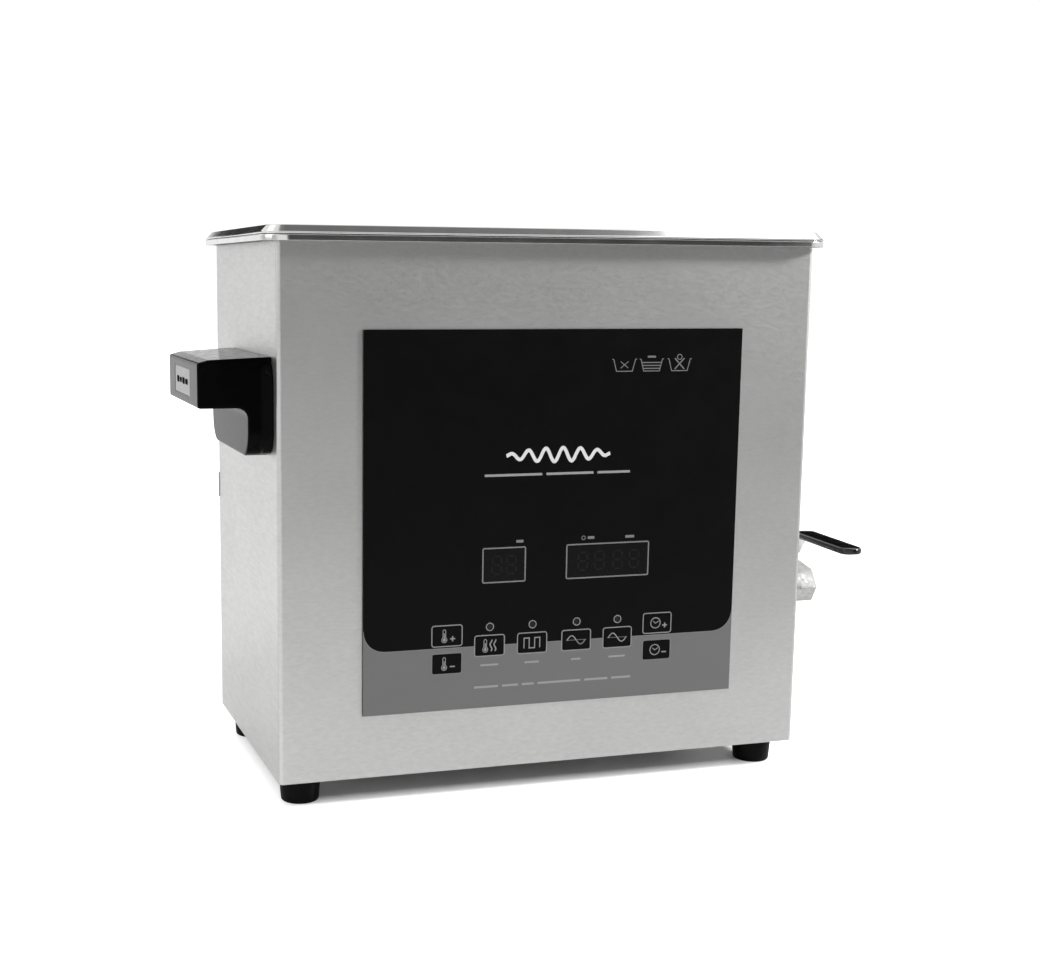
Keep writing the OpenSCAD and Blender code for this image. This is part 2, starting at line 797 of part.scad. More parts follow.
// Slice of the handle's foot plate, grown by the slope of its edge.
module handle_foot(x, t, grow) {
    y0 = handle_y0 - grow;
    y1 = handle_y1 + grow;
    z0 = handle_low + 1.5;
    z1 = handle_high - 1;
    translate([x, (y0 + y1) / 2, (z0 + z1) / 2]) rotate([90, 0, 90])
        linear_extrude(t) rounded((y1 - y0) / 2, (z1 - z0) / 2, 7 + grow, $fn = 32);
}

module side_handle() {
    wall_x = -side_x;
    face_x = wall_x - handle_reach;
    low_corner = 15;
    long = handle_y1 - handle_y0;
    color([0.08, 0.08, 0.08]) difference() {
        union() {
            // Foot plate against the casing, with sloping edges.
            hull() {
                handle_foot(wall_x - 0.6, 0.6, 5);
                handle_foot(wall_x - handle_plate, 0.4, 0);
            }
            intersection() {
                translate([0, handle_y1 + 5, 0]) rotate([90, 0, 0]) linear_extrude(long + 5)
                    handle_section();
                // Plan: the grip narrows towards its outer end at the back.
                translate([0, 0, handle_low - 1]) linear_extrude(handle_high - handle_low + 2)
                    polygon([[face_x - 1, handle_y0], [wall_x, handle_y0], [wall_x, handle_y1 + 4],
                        [wall_x - handle_leg, handle_y1], [face_x, handle_y1 - 10.5],
                            [face_x - 1, handle_y1 - 11]]);
                // Side view: round lower corners.
                translate([face_x - 5, 0, 0]) rotate([90, 0, 90]) linear_extrude(handle_reach + 10) {
                    translate([handle_y0, handle_low + low_corner]) square([long + 5, 80]);
                    translate([handle_y0 + low_corner, handle_low]) square([long - 2 * low_corner, 80]);
                    for (y = [handle_y0 + low_corner, handle_y1 - low_corner])
                        translate([y, handle_low + low_corner]) circle(r = low_corner);
                }
            }
        }
        // Recess for the label, and blind holes for the screws.
        block([face_x - 1, label_y0, label_z0], [face_x + label_t, label_y1, label_z1]);
        for (p = handle_screw_spots) rod_x(screw_r + 0.05, wall_x - 9.5, wall_x + 1, p[0], p[1]);
    }
}

module handle_label() {
    face_x = -side_x - handle_reach;
    color("lightgray") block([face_x, label_y0 + 0.1, label_z0 + 0.1],
        [face_x + label_t, label_y1 - 0.1, label_z1 - 0.1]);
}

// ---- Rear fittings ----

module fan_frame() {
    y0 = back_y - sheet - fan_depth;
    color([0.12, 0.12, 0.12]) difference() {
        union() {
            difference() {
                block([fan_x - fan_half, y0, fan_z - fan_half],
                    [fan_x + fan_half, back_y - sheet, fan_z + fan_half]);
                rod_y(fan_half - 1.5, y0 - 1, back_y, fan_x, fan_z);
            }
            rod_y(12, y0, y0 + 3, fan_x, fan_z);
            for (a = [45:90:315]) translate([fan_x, y0, fan_z]) rotate([0, a, 0])
                block([0, 0, -1.5], [fan_half, 2.5, 1.5]);
        }
        for (p = fan_screw_spots) rod_y(screw_r + 0.05, y0 - 1, back_y + 1, p[0], p[1]);
        rod_y(1.6, y0 - 1, y0 + 5, fan_x, fan_z);
    }
}

module fan_impeller() {
    y0 = back_y - sheet - fan_depth;
    blades = 7;
    color([0.2, 0.2, 0.2]) translate([fan_x, 0, fan_z]) {
        rod_y(11.5, y0 + 4, back_y - sheet - 1.5);
        rod_y(1.5, y0 + 0.5, y0 + 5);
        for (i = [0:blades - 1]) rotate([0, i * 360 / blades, 0])
            translate([11, (y0 + 4 + back_y - sheet - 1.5) / 2, 0]) rotate([40, 0, 0])
                block([-0.5, -6.5, -0.7], [15.5, 6.5, 0.7]);
    }
}

module fan_guard() {
    y = back_y + 1.6;
    wire = 0.8;
    color("gainsboro") {
        for (r = [7:6:25]) translate([fan_x, y, fan_z]) rotate([90, 0, 0]) rotate_extrude()
            translate([r, 0]) circle(r = wire);
        for (p = fan_screw_spots) difference() {
            rod_y(4, back_y, back_y + 2.4, p[0], p[1]);
            rod_y(screw_r + 0.1, back_y - 1, back_y + 4, p[0], p[1]);
        }
        for (a = [45, 135]) translate([fan_x, y, fan_z]) rotate([0, a, 0]) rod_x(wire, -32, 32);
    }
}

module power_inlet() {
    color([0.06, 0.06, 0.06]) difference() {
        union() {
            translate([inlet_x, back_y + 2.5, inlet_z]) rotate([90, 0, 0]) linear_extrude(2.5)
                rounded(15.5, 12.2, 2.5);
            block([inlet_x - 13.6, back_y - 19, inlet_z - 10],
                [inlet_x + 13.6, back_y + 1, inlet_z + 10]);
        }
        block([inlet_x - 12, back_y - 16, inlet_z - 8.2], [inlet_x + 12, back_y + 5, inlet_z + 8.2]);
        for (p = inlet_pin_spots) block([inlet_x + p[0] - 1, back_y - 25, inlet_z + p[1] - 2],
            [inlet_x + p[0] + 1, back_y, inlet_z + p[1] + 2]);
    }
}

module inlet_pins() {
    color("gold") for (p = inlet_pin_spots)
        block([inlet_x + p[0] - 1, back_y - 25, inlet_z + p[1] - 2],
            [inlet_x + p[0] + 1, back_y - 2, inlet_z + p[1] + 2]);
}

module switch_housing() {
    color([0.06, 0.06, 0.06]) difference() {
        union() {
            translate([switch_x, back_y + 2, switch_z]) rotate([90, 0, 0]) linear_extrude(2)
                rounded(11, 8, 1.5);
            block([switch_x - 9.5, back_y - 16, switch_z - 6.5 - 0.05],
                [switch_x + 9.5, back_y + 1, switch_z + 6.5 + 0.05]);
        }
        block([switch_x - 7.6, back_y - 12, switch_z - 5.9],
            [switch_x + 7.6, back_y + 5, switch_z + 5.9]);
        rod_x(rocker_pin_r + 0.05, switch_x - 8.7, switch_x + 8.7, rocker_y, switch_z);
    }
}

module power_rocker() {
    half = 7.3;
    face = 4.6;
    color([0.5, 0.05, 0.05]) translate([switch_x, rocker_y, switch_z]) rotate([-rocker_tilt, 0, 0]) {
        difference() {
            rod_x(5.6, -half, half);
            // Two faces that meet in a shallow valley.
            for (s = [-1, 1]) rotate([s * rocker_tilt, 0, 0])
                translate([-half - 1, face, s > 0 ? -12 : 0]) cube([2 * half + 2, 6, 12]);
        }
        rod_x(rocker_pin_r, -half - 1.2, half + 1.2);
    }
}

// ---- Basket ----

module basket_rim() {
    color("gainsboro") wire_loop(basket_x, basket_y, basket_r, wire_r, basket_z + basket_h);
}

// Upright wires outside the mesh. Those at the outer places of the long sides are longer: they are the
// legs.
module basket_posts() {
    top = basket_z + basket_h - wire_r;
    color("gainsboro") {
        for (sx = [-1, 1]) for (y = [-45, 45]) rod_z(1.5, basket_z, top, sx * basket_x, y);
        for (sy = [-1, 1]) {
            rod_z(1.5, basket_z, top, 0, sy * basket_y);
            for (sx = [-1, 1]) rod_z(2, tank_floor, top, sx * basket_leg_x, sy * basket_y);
        }
    }
}

// Floor and four sides of wire mesh, each a flat panel.
module basket_mesh() {
    inset = 2.3;
    mesh_t = 0.8;
    seam = 0.1;
    hx = basket_x - inset;
    hy = basket_y - inset;
    top = basket_z + basket_h - wire_r;
    color("silver") {
        block([-hx, -hy, basket_z - 1], [hx, hy, basket_z - 1 + mesh_t]);
        low = basket_z - 1 + mesh_t + seam;
        for (s = [-1, 1]) {
            block([-hx, s * (hy - mesh_t / 2) - mesh_t / 2, low],
                [hx, s * (hy - mesh_t / 2) + mesh_t / 2, top]);
            block([s * (hx - mesh_t / 2) - mesh_t / 2, -hy + mesh_t + seam, low],
                [s * (hx - mesh_t / 2) + mesh_t / 2, hy - mesh_t - seam, top]);
        }
    }
}

module basket_handles() {
    top = basket_z + basket_h;
    rise = 13;
    half = 28;
    color("gainsboro") for (s = [-1, 1]) translate([s * basket_x, 0, top + wire_r]) {
        for (t = [-1, 1]) {
            rod_z(wire_r, 0, rise - 4, 0, t * half);
            translate([0, t * (half - 4), rise - 4]) rotate([90, 0, t > 0 ? 90 : -90])
                rotate_extrude(angle = 90) translate([4, 0]) circle(r = wire_r);
        }
        rod_y(wire_r, -half + 4, half - 4, 0, rise);
    }
}

// ---- Lid ----

module lid() {
    edge = 0.8;
    color("lightgray") difference() {
        union() {
            difference() {
                hull() {
                    slab(rim_x, rim_y, rim_r, rim_top, rim_top + edge, $fn = 32);
                    slab(rim_x - lid_slope, rim_y - lid_slope, rim_r - lid_slope, lid_top - 0.3, lid_top,
                        $fn = 32);
                }
                hull() {
                    slab(rim_x - 1, rim_y - 1, rim_r - 1, rim_top - 1, rim_top + edge - 0.5, $fn = 32);
                    slab(rim_x - lid_slope - 0.6, rim_y - lid_slope - 0.6, rim_r - lid_slope - 0.6,
                        lid_top - 2, lid_top - lid_sheet, $fn = 32);
                }
            }
            // Middle of the lid, sunk into the mouth of the tank.
            slab(pan_x, pan_y, 12, pan_z, lid_top - 0.2);
        }
        slab(pan_x - lid_sheet, pan_y - lid_sheet, 12 - lid_sheet, pan_z + lid_sheet, lid_top + 1);
        for (s = [-1, 1]) rod_z(screw_hole_r, pan_z - 1, pan_z + 2, s * lid_handle_x);
    }
}

module lid_handle() {
    z0 = pan_z + lid_sheet;
    top = lid_top - 0.2;
    color([0.08, 0.08, 0.08]) difference() {
        translate([0, 10, 0]) rotate([90, 0, 0]) linear_extrude(20)
            polygon([[-56, z0], [-52, z0 + 8], [-42, top - 2], [-30, top], [30, top], [42, top - 2],
                [52, z0 + 8], [56, z0],
                [38, z0], [36, z0 + 6], [30, z0 + 10], [-30, z0 + 10], [-36, z0 + 6], [-38, z0]]);
        for (s = [-1, 1]) rod_z(screw_r + 0.05, z0 - 1, z0 + 7, s * lid_handle_x);
    }
}

module lid_handle_screws() {
    color("gainsboro") for (s = [-1, 1]) translate([s * lid_handle_x, 0, pan_z]) screw(7);
}

// ---- Nodes ----

place() casing_wrap();
place() back_panel();
place() base_plate();
place() rubber_feet();
place() foot_screws();
place() panel_screws();
place() tank();
place() rim_seal();
place() heater_pads();
place() temperature_sensor();
place() transducer_horns();
place() piezo_rings();
place() transducer_back_masses();
place() transducer_bolts();
place() drain_fitting();
place() drain_seals();
place() drain_lock_nuts();
place() drain_elbow();
place() drain_nipple();
place() valve_body();
place() valve_seats();
place() packing_nut();
place() valve_lever();
place() lever_grip();
place() valve_stem();
place() valve_ball();
place() control_overlay();
place() display_windows();
place() control_board();
place() display_modules();
place() tact_switches();
place() indicator_leds();
place() key(0);  // key_temp_up
place() key(1);  // key_temp_down
place() key(2);  // key_heat
place() key(3);  // key_degas
place() key(4);  // key_soft
place() key(5);  // key_normal
place() key(6);  // key_time_up
place() key(7);  // key_time_down
place() generator_board();
place() board_standoffs();
place() heat_sink();
place() toroidal_coil();
place() side_handle();
place() handle_label();
place() fan_frame();
place() fan_impeller();
place() fan_guard();
place() power_inlet();
place() inlet_pins();
place() switch_housing();
place() power_rocker();
place() basket_rim();
place() basket_posts();
place() basket_mesh();
place() basket_handles();
place() lid();
place() lid_handle();
place() lid_handle_screws();
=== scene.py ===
"""Looks of a bench-top ultrasonic cleaner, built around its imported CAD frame.

Lengths in the building code are millimetres in the row frame; a mesh is scaled to metres when it is made.
CAD nodes keep their shape and get a procedural material. Nodes whose edges or surfaces need more than the CAD
gives are replaced by a piece of the same size.
"""
import json
import math

import bmesh
import bpy
from mathutils import Matrix, Vector


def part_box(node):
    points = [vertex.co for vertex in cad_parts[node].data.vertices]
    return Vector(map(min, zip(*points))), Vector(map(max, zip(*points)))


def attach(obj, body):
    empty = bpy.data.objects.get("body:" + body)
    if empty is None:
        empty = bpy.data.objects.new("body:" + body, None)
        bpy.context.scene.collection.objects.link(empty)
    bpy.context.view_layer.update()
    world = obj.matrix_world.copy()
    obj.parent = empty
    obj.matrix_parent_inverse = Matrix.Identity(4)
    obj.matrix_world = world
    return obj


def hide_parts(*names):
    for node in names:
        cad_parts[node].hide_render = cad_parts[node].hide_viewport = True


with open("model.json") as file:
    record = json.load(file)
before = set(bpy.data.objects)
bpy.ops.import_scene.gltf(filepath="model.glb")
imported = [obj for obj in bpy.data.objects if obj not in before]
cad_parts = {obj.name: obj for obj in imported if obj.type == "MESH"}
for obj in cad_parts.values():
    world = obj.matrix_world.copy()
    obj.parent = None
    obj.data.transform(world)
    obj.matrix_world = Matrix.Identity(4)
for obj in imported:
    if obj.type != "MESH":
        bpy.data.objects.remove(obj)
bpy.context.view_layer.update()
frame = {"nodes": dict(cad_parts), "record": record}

MM = 0.001
SLOT_OF = {s["node"]: s["material_slot"] for s in frame["record"]["subparts"]}
BODY_OF = {n: body for body, nodes in frame["record"]["behaviour"]["bodies"].items() for n in nodes}


def box_mm(node):
    """Lowest and highest corners of a CAD node, in millimetres."""
    low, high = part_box(node)
    return low / MM, high / MM


# ---- Places taken from the CAD frame ----

SEAL_LOW, SEAL_HIGH = box_mm("rim_seal")
CX = (SEAL_LOW.x + SEAL_HIGH.x) / 2
CASING_LOW, CASING_HIGH = box_mm("casing_wrap")
BASE_Z, TOP_Z = CASING_LOW.z, CASING_HIGH.z
SIDE_X = (CASING_HIGH.x - CASING_LOW.x) / 2
BACK_Y = CASING_HIGH.y
TANK_LOW, TANK_HIGH = box_mm("tank")
RIM_X, RIM_Y, RIM_TOP = (TANK_HIGH.x - TANK_LOW.x) / 2, TANK_HIGH.y, TANK_HIGH.z
LID_LOW, LID_HIGH = box_mm("lid")
PANEL_LOW, PANEL_HIGH = box_mm("control_overlay")
FACE_Y = PANEL_LOW.y
TANK_FLOOR = TANK_LOW.z + 1


# ---- Materials ----

def math_node(tree, operation, *values):
    """Result of a Math node. Each value is a number or another node's socket."""
    node = tree.nodes.new("ShaderNodeMath")
    node.operation = operation
    for socket, value in zip(node.inputs, values):
        if isinstance(value, bpy.types.NodeSocket):
            tree.links.new(value, socket)
        else:
            socket.default_value = value
    return node.outputs[0]


def range_node(tree, value, low, high, out_low, out_high, steps="LINEAR"):
    """Result of a Map Range node that takes low to out_low and high to out_high."""
    node = tree.nodes.new("ShaderNodeMapRange")
    node.interpolation_type = steps
    tree.links.new(value, node.inputs["Value"])
    for i, number in enumerate((low, high, out_low, out_high)):
        node.inputs[i + 1].default_value = number
    return node.outputs["Result"]


class Look:
    """A procedural material. Its textures follow the object's own coordinates, with sizes in millimetres."""

    def __init__(self, name, colour, rough, metallic=0.0, **sockets):
        self.material = bpy.data.materials.new(name)
        self.material.use_nodes = True
        self.tree = self.material.node_tree
        self.shader = self.tree.nodes["Principled BSDF"]
        self.colour = colour
        self.rough = rough
        self.material.diffuse_color = (*colour, 1)
        self.set("Base Color", (*colour, 1))
        self.set("Roughness", rough)
        self.set("Metallic", metallic)
        for socket, value in sockets.items():
            self.set(socket.replace("_", " "), value)
        self.where = self.tree.nodes.new("ShaderNodeTexCoord").outputs["Object"]
        self.bumps = None

    def set(self, socket, value):
        self.shader.inputs[socket].default_value = value

    def add(self, kind, **inputs):
        node = self.tree.nodes.new(kind)
        for socket, value in inputs.items():
            target = node.inputs[socket.replace("_", " ")]
            if isinstance(value, bpy.types.NodeSocket):
                self.tree.links.new(value, target)
            else:
                target.default_value = value
        return node

    def at(self, size):
        """Coordinates in which one unit is size millimetres, a number or one for each axis."""
        size = size if isinstance(size, tuple) else (size, size, size)
        mapping = self.add("ShaderNodeMapping", Vector=self.where)
        mapping.inputs["Scale"].default_value = tuple(1 / (s * MM) for s in size)
        return mapping.outputs["Vector"]

    def noise(self, size, detail=2.0, roughness=0.5):
        return self.add("ShaderNodeTexNoise", Vector=self.at(size), Scale=1.0, Detail=detail,
                        Roughness=roughness).outputs["Fac"]

    def cells(self, size):
        return self.add("ShaderNodeTexVoronoi", Vector=self.at(size), Scale=1.0).outputs["Distance"]

    def between(self, value, low, high, out_low, out_high):
        return range_node(self.tree, value, low, high, out_low, out_high)

    def calc(self, operation, *values):
        return math_node(self.tree, operation, *values)

    def shade(self, value, amount, other=None):
        """Varies the colour by amount of itself, or towards another colour, as value goes from 0.3 to 0.7."""
        other = other or tuple(c * (1 - amount) for c in self.colour)
        start = tuple(min(1, c * (1 + amount)) for c in self.colour)
        mix = self.tree.nodes.new("ShaderNodeMix")
        mix.data_type = "RGBA"
        self.tree.links.new(self.between(value, 0.3, 0.7, 0, 1), mix.inputs[0])
        mix.inputs[6].default_value = (*start, 1)
        mix.inputs[7].default_value = (*other, 1)
        self.tree.links.new(mix.outputs[2], self.shader.inputs["Base Color"])
        return self

    def gloss(self, value, spread):
        """Varies the roughness by spread either way."""
        rough = self.between(value, 0.3, 0.7, self.rough - spread, self.rough + spread)
        self.tree.links.new(rough, self.shader.inputs["Roughness"])
        return self

    def bump(self, height, depth, strength=1.0):
        """Adds a bump whose full height is depth millimetres."""
        node = self.add("ShaderNodeBump", Height=height, Strength=strength, Distance=depth * MM)
        if self.bumps:
            self.tree.links.new(self.bumps, node.inputs["Normal"])
        self.bumps = node.outputs["Normal"]
        self.tree.links.new(self.bumps, self.shader.inputs["Normal"])
        return self


def rolled_steel(name, colour, rough):
    """Matt rolled sheet: fine mottling, drawn out a little along the sheet, and slow changes across it."""
    look = Look(name, colour, rough, 1.0)
    grain = look.noise((4.5, 11, 1.7), 3, 0.6)
    broad = look.noise(70, 2)
    fine = look.noise((0.9, 3, 0.35), 2)
    mixed = look.calc("ADD", look.calc("MULTIPLY", grain, 0.62), look.calc("MULTIPLY", broad, 0.38))
    look.shade(mixed, 0.08)
    look.gloss(grain, 0.03)
    look.bump(fine, 0.012, 0.5)
    return look.bump(grain, 0.02, 0.14)


def polished_steel(name, colour, rough, scratch=0.4):
    """Bright drawn sheet: slight waviness, hairlines and wiped patches."""
    look = Look(name, colour, rough, 1.0)
    wave = look.noise(35, 1)
    hair = look.noise((9, 0.5, 0.5), 3, 0.7)
    look.shade(look.noise(14, 3), 0.05)
    look.gloss(look.noise(22, 3), rough * 0.35)
    look.bump(wave, 0.06, 0.5)
    return look.bump(hair, 0.006, scratch)


def machined(name, colour, rough, marks=1.0, metallic=1.0):
    """Turned or cast metal with fine tool marks and stains."""
    look = Look(name, colour, rough, metallic)
    look.shade(look.noise(3.2, 4), 0.1)
    look.gloss(look.noise(1.6, 3), rough * 0.3)
    return look.bump(look.noise((0.5, 2.5, 2.5), 2), 0.015, 0.5 * marks)


def moulded(name, colour, rough, pebble=0.45, specular=0.5, relief=1.0):
    """Moulded plastic or rubber with a fine pebbled skin and scuffs."""
    look = Look(name, colour, rough, Specular_IOR_Level=specular)
    look.shade(look.noise(9, 4), 0.25)
    look.gloss(look.noise(5, 4), 0.05)
    look.bump(look.cells(pebble), 0.03, 0.4 * relief)
    return look.bump(look.noise(14, 2), 0.08, 0.25 * relief)


def printed(name, colour, rough, specular=0.5, coarse=0.3):
    """Ink or film: a fine grain of colour and a faint orange-peel surface."""
    look = Look(name, colour, rough, Specular_IOR_Level=specular)
    look.shade(look.noise(coarse, 3), 0.14)
    look.gloss(look.noise(12, 3), 0.04)
    return look.bump(look.noise(0.9, 2), 0.008, 0.4)


def board(name, colour, rough):
    """Circuit board: solder mask over faint copper tracks."""
    look = Look(name, colour, rough)
    tracks = look.cells((3.5, 3.5, 3.5))
    look.shade(tracks, 0.35)
    look.gloss(look.noise(4, 2), 0.06)
    return look.bump(tracks, 0.03, 0.5)


COIL_TURNS = 90


def wound(name, colour, rough):
    """Lacquered copper wire wound in COIL_TURNS turns round a ring that lies flat."""
    look = Look(name, colour, rough, 0.85)
    low, high = box_mm("toroidal_coil")
    middle = (low + high) / 2 * MM
    away = look.add("ShaderNodeVectorMath", Vector=look.where)
    away.operation = "SUBTRACT"
    away.inputs[1].default_value = middle
    parts = look.add("ShaderNodeSeparateXYZ", Vector=away.outputs[0])
    angle = look.calc("ARCTAN2", parts.outputs["Y"], parts.outputs["X"])
    ridge = look.calc("SINE", look.calc("MULTIPLY", angle, COIL_TURNS))
    look.shade(look.between(ridge, -1, 1, 0.3, 0.7), 0.3)
    return look.bump(ridge, 0.4, 0.8)


LOOKS = {
    "casing_steel": rolled_steel("casing_steel_look", (0.53, 0.53, 0.526), 0.38),
    "base_steel": rolled_steel("base_steel_look", (0.42, 0.42, 0.42), 0.46),
    "foot_rubber": moulded("foot_rubber_look", (0.0025, 0.0025, 0.0025), 0.45, specular=0.06),
    "screw_steel": machined("screw_steel_look", (0.55, 0.55, 0.54), 0.28),
    "tank_steel": polished_steel("tank_steel_look", (0.66, 0.66, 0.655), 0.13),
    "seal_silicone": moulded("seal_silicone_look", (0.12, 0.12, 0.12), 0.55),
    "heater_silicone": moulded("heater_silicone_look", (0.55, 0.12, 0.03), 0.5, 0.8),
    "horn_aluminium": machined("horn_aluminium_look", (0.62, 0.62, 0.63), 0.34),
    "piezo_ceramic": printed("piezo_ceramic_look", (0.42, 0.33, 0.2), 0.5, 0.5, 0.5),
    "back_mass_steel": machined("back_mass_steel_look", (0.3, 0.3, 0.31), 0.38),
    "elbow_brass": machined("elbow_brass_look", (0.72, 0.48, 0.2), 0.3),
    "valve_steel": machined("valve_steel_look", (0.34, 0.34, 0.335), 0.62, 0.2, 0.22),
    "seat_ptfe": moulded("seat_ptfe_look", (0.8, 0.8, 0.78), 0.4),
    "lever_steel": rolled_steel("lever_steel_look", (0.6, 0.6, 0.59), 0.3),
    "grip_vinyl": moulded("grip_vinyl_look", (0.002, 0.002, 0.002), 0.12, 1.2, 0.5, 0.1),
    "ball_chrome": polished_steel("ball_chrome_look", (0.7, 0.7, 0.71), 0.08),
    "overlay_film": printed("overlay_film_look", (0.0022, 0.0022, 0.0023), 0.36, 0.06),
    "display_film": printed("display_film_look", (0.003, 0.003, 0.0032), 0.2, 0.12, 1.5),
    "circuit_board": board("circuit_board_look", (0.02, 0.12, 0.05), 0.4),
    "display_body": moulded("display_body_look", (0.03, 0.03, 0.03), 0.4),
    "black_plastic": moulded("black_plastic_look", (0.011, 0.011, 0.011), 0.38),
    "led_lens": printed("led_lens_look", (0.008, 0.009, 0.008), 0.2, 0.2, 1.0),
    "key_film": printed("key_film_look", (0.0021, 0.0021, 0.0022), 0.34, 0.06),
    "coil_copper": wound("coil_copper_look", (0.6, 0.27, 0.11), 0.35),
    "handle_plastic": moulded("handle_plastic_look", (0.0015, 0.0015, 0.0016), 0.13, 0.4, 0.03, 0.12),
    "label_film": printed("label_film_look", (0.30, 0.30, 0.30), 0.4, 0.2),
    "rocker_plastic": moulded("rocker_plastic_look", (0.3, 0.012, 0.01), 0.28),
    "basket_wire": polished_steel("basket_wire_look", (0.62, 0.62, 0.61), 0.2),
    "basket_sheet": polished_steel("basket_sheet_look", (0.58, 0.58, 0.57), 0.26),
    "lid_steel": polished_steel("lid_steel_look", (0.66, 0.66, 0.655), 0.09),
}
PRINT_LIGHT = printed("print_light_look", (0.50, 0.50, 0.50), 0.42)
PRINT_DIM = printed("print_dim_look", (0.125, 0.125, 0.125), 0.42)
PRINT_MATT = printed("print_matt_look", (0.01, 0.01, 0.01), 0.8, 0.0)
PRINT_FRAME = printed("print_frame_look", (0.19, 0.19, 0.19), 0.42)
PRINT_SOFT = printed("print_soft_look", (0.21, 0.21, 0.21), 0.42)
PRINT_BAND = printed("print_band_look", (0.108, 0.108, 0.108), 0.40, 0.3)
SEGMENT_OFF = printed("segment_off_look", (0.0058, 0.0058, 0.0058), 0.25, 0.15)

for name, node in frame["nodes"].items():
    for material_slot in node.material_slots:
        material_slot.material = LOOKS[SLOT_OF[name]].material


# ---- Mesh building ----

class Build:
    """Collects closed solids, in millimetres, for one piece."""

    def __init__(self):
        self.points = []
        self.faces = []

    def _add(self, points, faces):
        first = len(self.points)
        self.points += [tuple(p) for p in points]
        self.faces += [tuple(first + i for i in face) for face in faces]
        return self

    def loft(self, rings, ring_closed=False):
        """A skin through rings of equally many points. Its ends are capped, or joined if ring_closed."""
        n = len(rings[0])
        faces = []
        for k in range(len(rings) if ring_closed else len(rings) - 1):
            a, b = k * n, (k + 1) % len(rings) * n
            faces += [(a + i, a + (i + 1) % n, b + (i + 1) % n, b + i) for i in range(n)]
        if not ring_closed:
            last = (len(rings) - 1) * n
            faces += [tuple(reversed(range(n))), tuple(range(last, last + n))]
        return self._add([p for ring in rings for p in ring], faces)

    def lathe(self, profile, origin, axis, sides=40, closed=False):
        """Turns (radius, along) pairs round an axis. A closed profile makes a ring."""
        axis = Vector(axis).normalized()
        side = axis.orthogonal().normalized()
        other = axis.cross(side)
        rings = []
        for r, along in profile:
            middle = Vector(origin) + axis * along
            turn = [2 * math.pi * i / sides for i in range(sides)]
            rings.append([middle + (side * math.cos(a) + other * math.sin(a)) * r for a in turn])
        return self.loft(rings, closed)

    def tube(self, path, radius, sides=8, closed=False):
        """Round wire along a path."""
        path = [Vector(p) for p in path]
        rings = []
        normal = None
        for i, p in enumerate(path):
            before = path[i - 1] if i or closed else p
            after = path[(i + 1) % len(path)] if i + 1 < len(path) or closed else p
            along = (after - before).normalized()
            normal = normal - along * normal.dot(along) if normal else along.orthogonal()
            normal.normalize()
            other = along.cross(normal)
            turn = [2 * math.pi * k / sides for k in range(sides)]
            rings.append([p + (normal * math.cos(a) + other * math.sin(a)) * radius for a in turn])
        return self.loft(rings, closed)

    def ribbon(self, line, width, y, thick, closed=False):
        """A flat stroke of print along an (x, z) line, raised from y towards the front."""
        n = len(line)
        sides = []
        for i, (x, z) in enumerate(line):
            before = line[i - 1] if i or closed else None
            after = line[(i + 1) % n] if i + 1 < n or closed else None
            normals = []
            for a, b in ((before, (x, z)), ((x, z), after)):
                if a and b:
                    length = math.hypot(b[0] - a[0], b[1] - a[1])
                    normals.append(((a[1] - b[1]) / length, (b[0] - a[0]) / length))
            nx, nz = (sum(c) / len(normals) for c in zip(*normals))
            scale = width / 2 / max(0.35, nx * nx + nz * nz)
            sides.append(((x + nx * scale, z + nz * scale), (x - nx * scale, z - nz * scale)))
        front = y - thick
        rings = [[(a[0], front, a[1]), (b[0], front, b[1]), (b[0], y, b[1]), (a[0], y, a[1])]
                 for a, b in sides]
        return self.loft(rings, closed)

    def disc(self, x, z, r, y, thick, sides=24):
        return self.lathe([(r, 0), (r, thick)], (x, y, z), (0, -1, 0), sides)

    def bar(self, x0, z0, x1, z1, y, thick, corner=0.25):
        """A small printed rectangle with round corners."""
        line = rounded_line((x0 + x1) / 2, (z0 + z1) / 2, x1 - x0, z1 - z0, corner, 3)
        return self.loft([[(x, y - depth, z) for x, z in line] for depth in (0, thick)])


def rounded_ring(hx, hy, r, z, steps=8, middle=0.0, upright=False):
    """Points of a rectangle with round corners, in a level plane or an upright one."""
    ring = []
    for quarter, (sx, sy) in enumerate(((1, 1), (-1, 1), (-1, -1), (1, -1))):
        for i in range(steps + 1):
            a = math.radians(90 * (quarter + i / steps))
            x = middle + sx * (hx - r) + r * math.cos(a)
            y = sy * (hy - r) + r * math.sin(a)
            ring.append((x, z, y) if upright else (x, y, z))
    return ring


def rounded_line(x, z, w, h, r, steps=4):
    """Closed (x, z) line of a rectangle with round corners."""
    return [(x + px, z + pz) for px, _, pz in rounded_ring(w / 2, h / 2, r, 0, steps, upright=True)]


def circle_line(x, z, r, start=0, end=360, steps=32):
    """(x, z) points round a circle; a full circle leaves out its last point."""
    count = steps if abs(end - start) == 360 else steps + 1
    turn = [math.radians(start + (end - start) * i / steps) for i in range(count)]
    return [(x + r * math.cos(a), z + r * math.sin(a)) for a in turn]


def smooth_by_angle(mesh, degrees=32):
    for polygon in mesh.polygons:
        polygon.use_smooth = True
    mesh.set_sharp_from_angle(angle=math.radians(degrees))


def clean(mesh, merge=1e-6):
    work = bmesh.new()
    work.from_mesh(mesh)
    bmesh.ops.remove_doubles(work, verts=work.verts, dist=merge)
    bmesh.ops.recalc_face_normals(work, faces=work.faces)
    work.to_mesh(mesh)
    work.free()


def settle(obj):
    """Turns an object's modifiers into its mesh."""
    graph = bpy.context.evaluated_depsgraph_get()
    mesh = bpy.data.meshes.new_from_object(obj.evaluated_get(graph))
    obj.modifiers.clear()
    obj.data = mesh
    return obj


def place(obj, look, body, nodes=()):
    obj.data.materials.clear()
    obj.data.materials.append(look.material)
    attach(obj, body)
    if nodes:
        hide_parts(*nodes)
    return obj


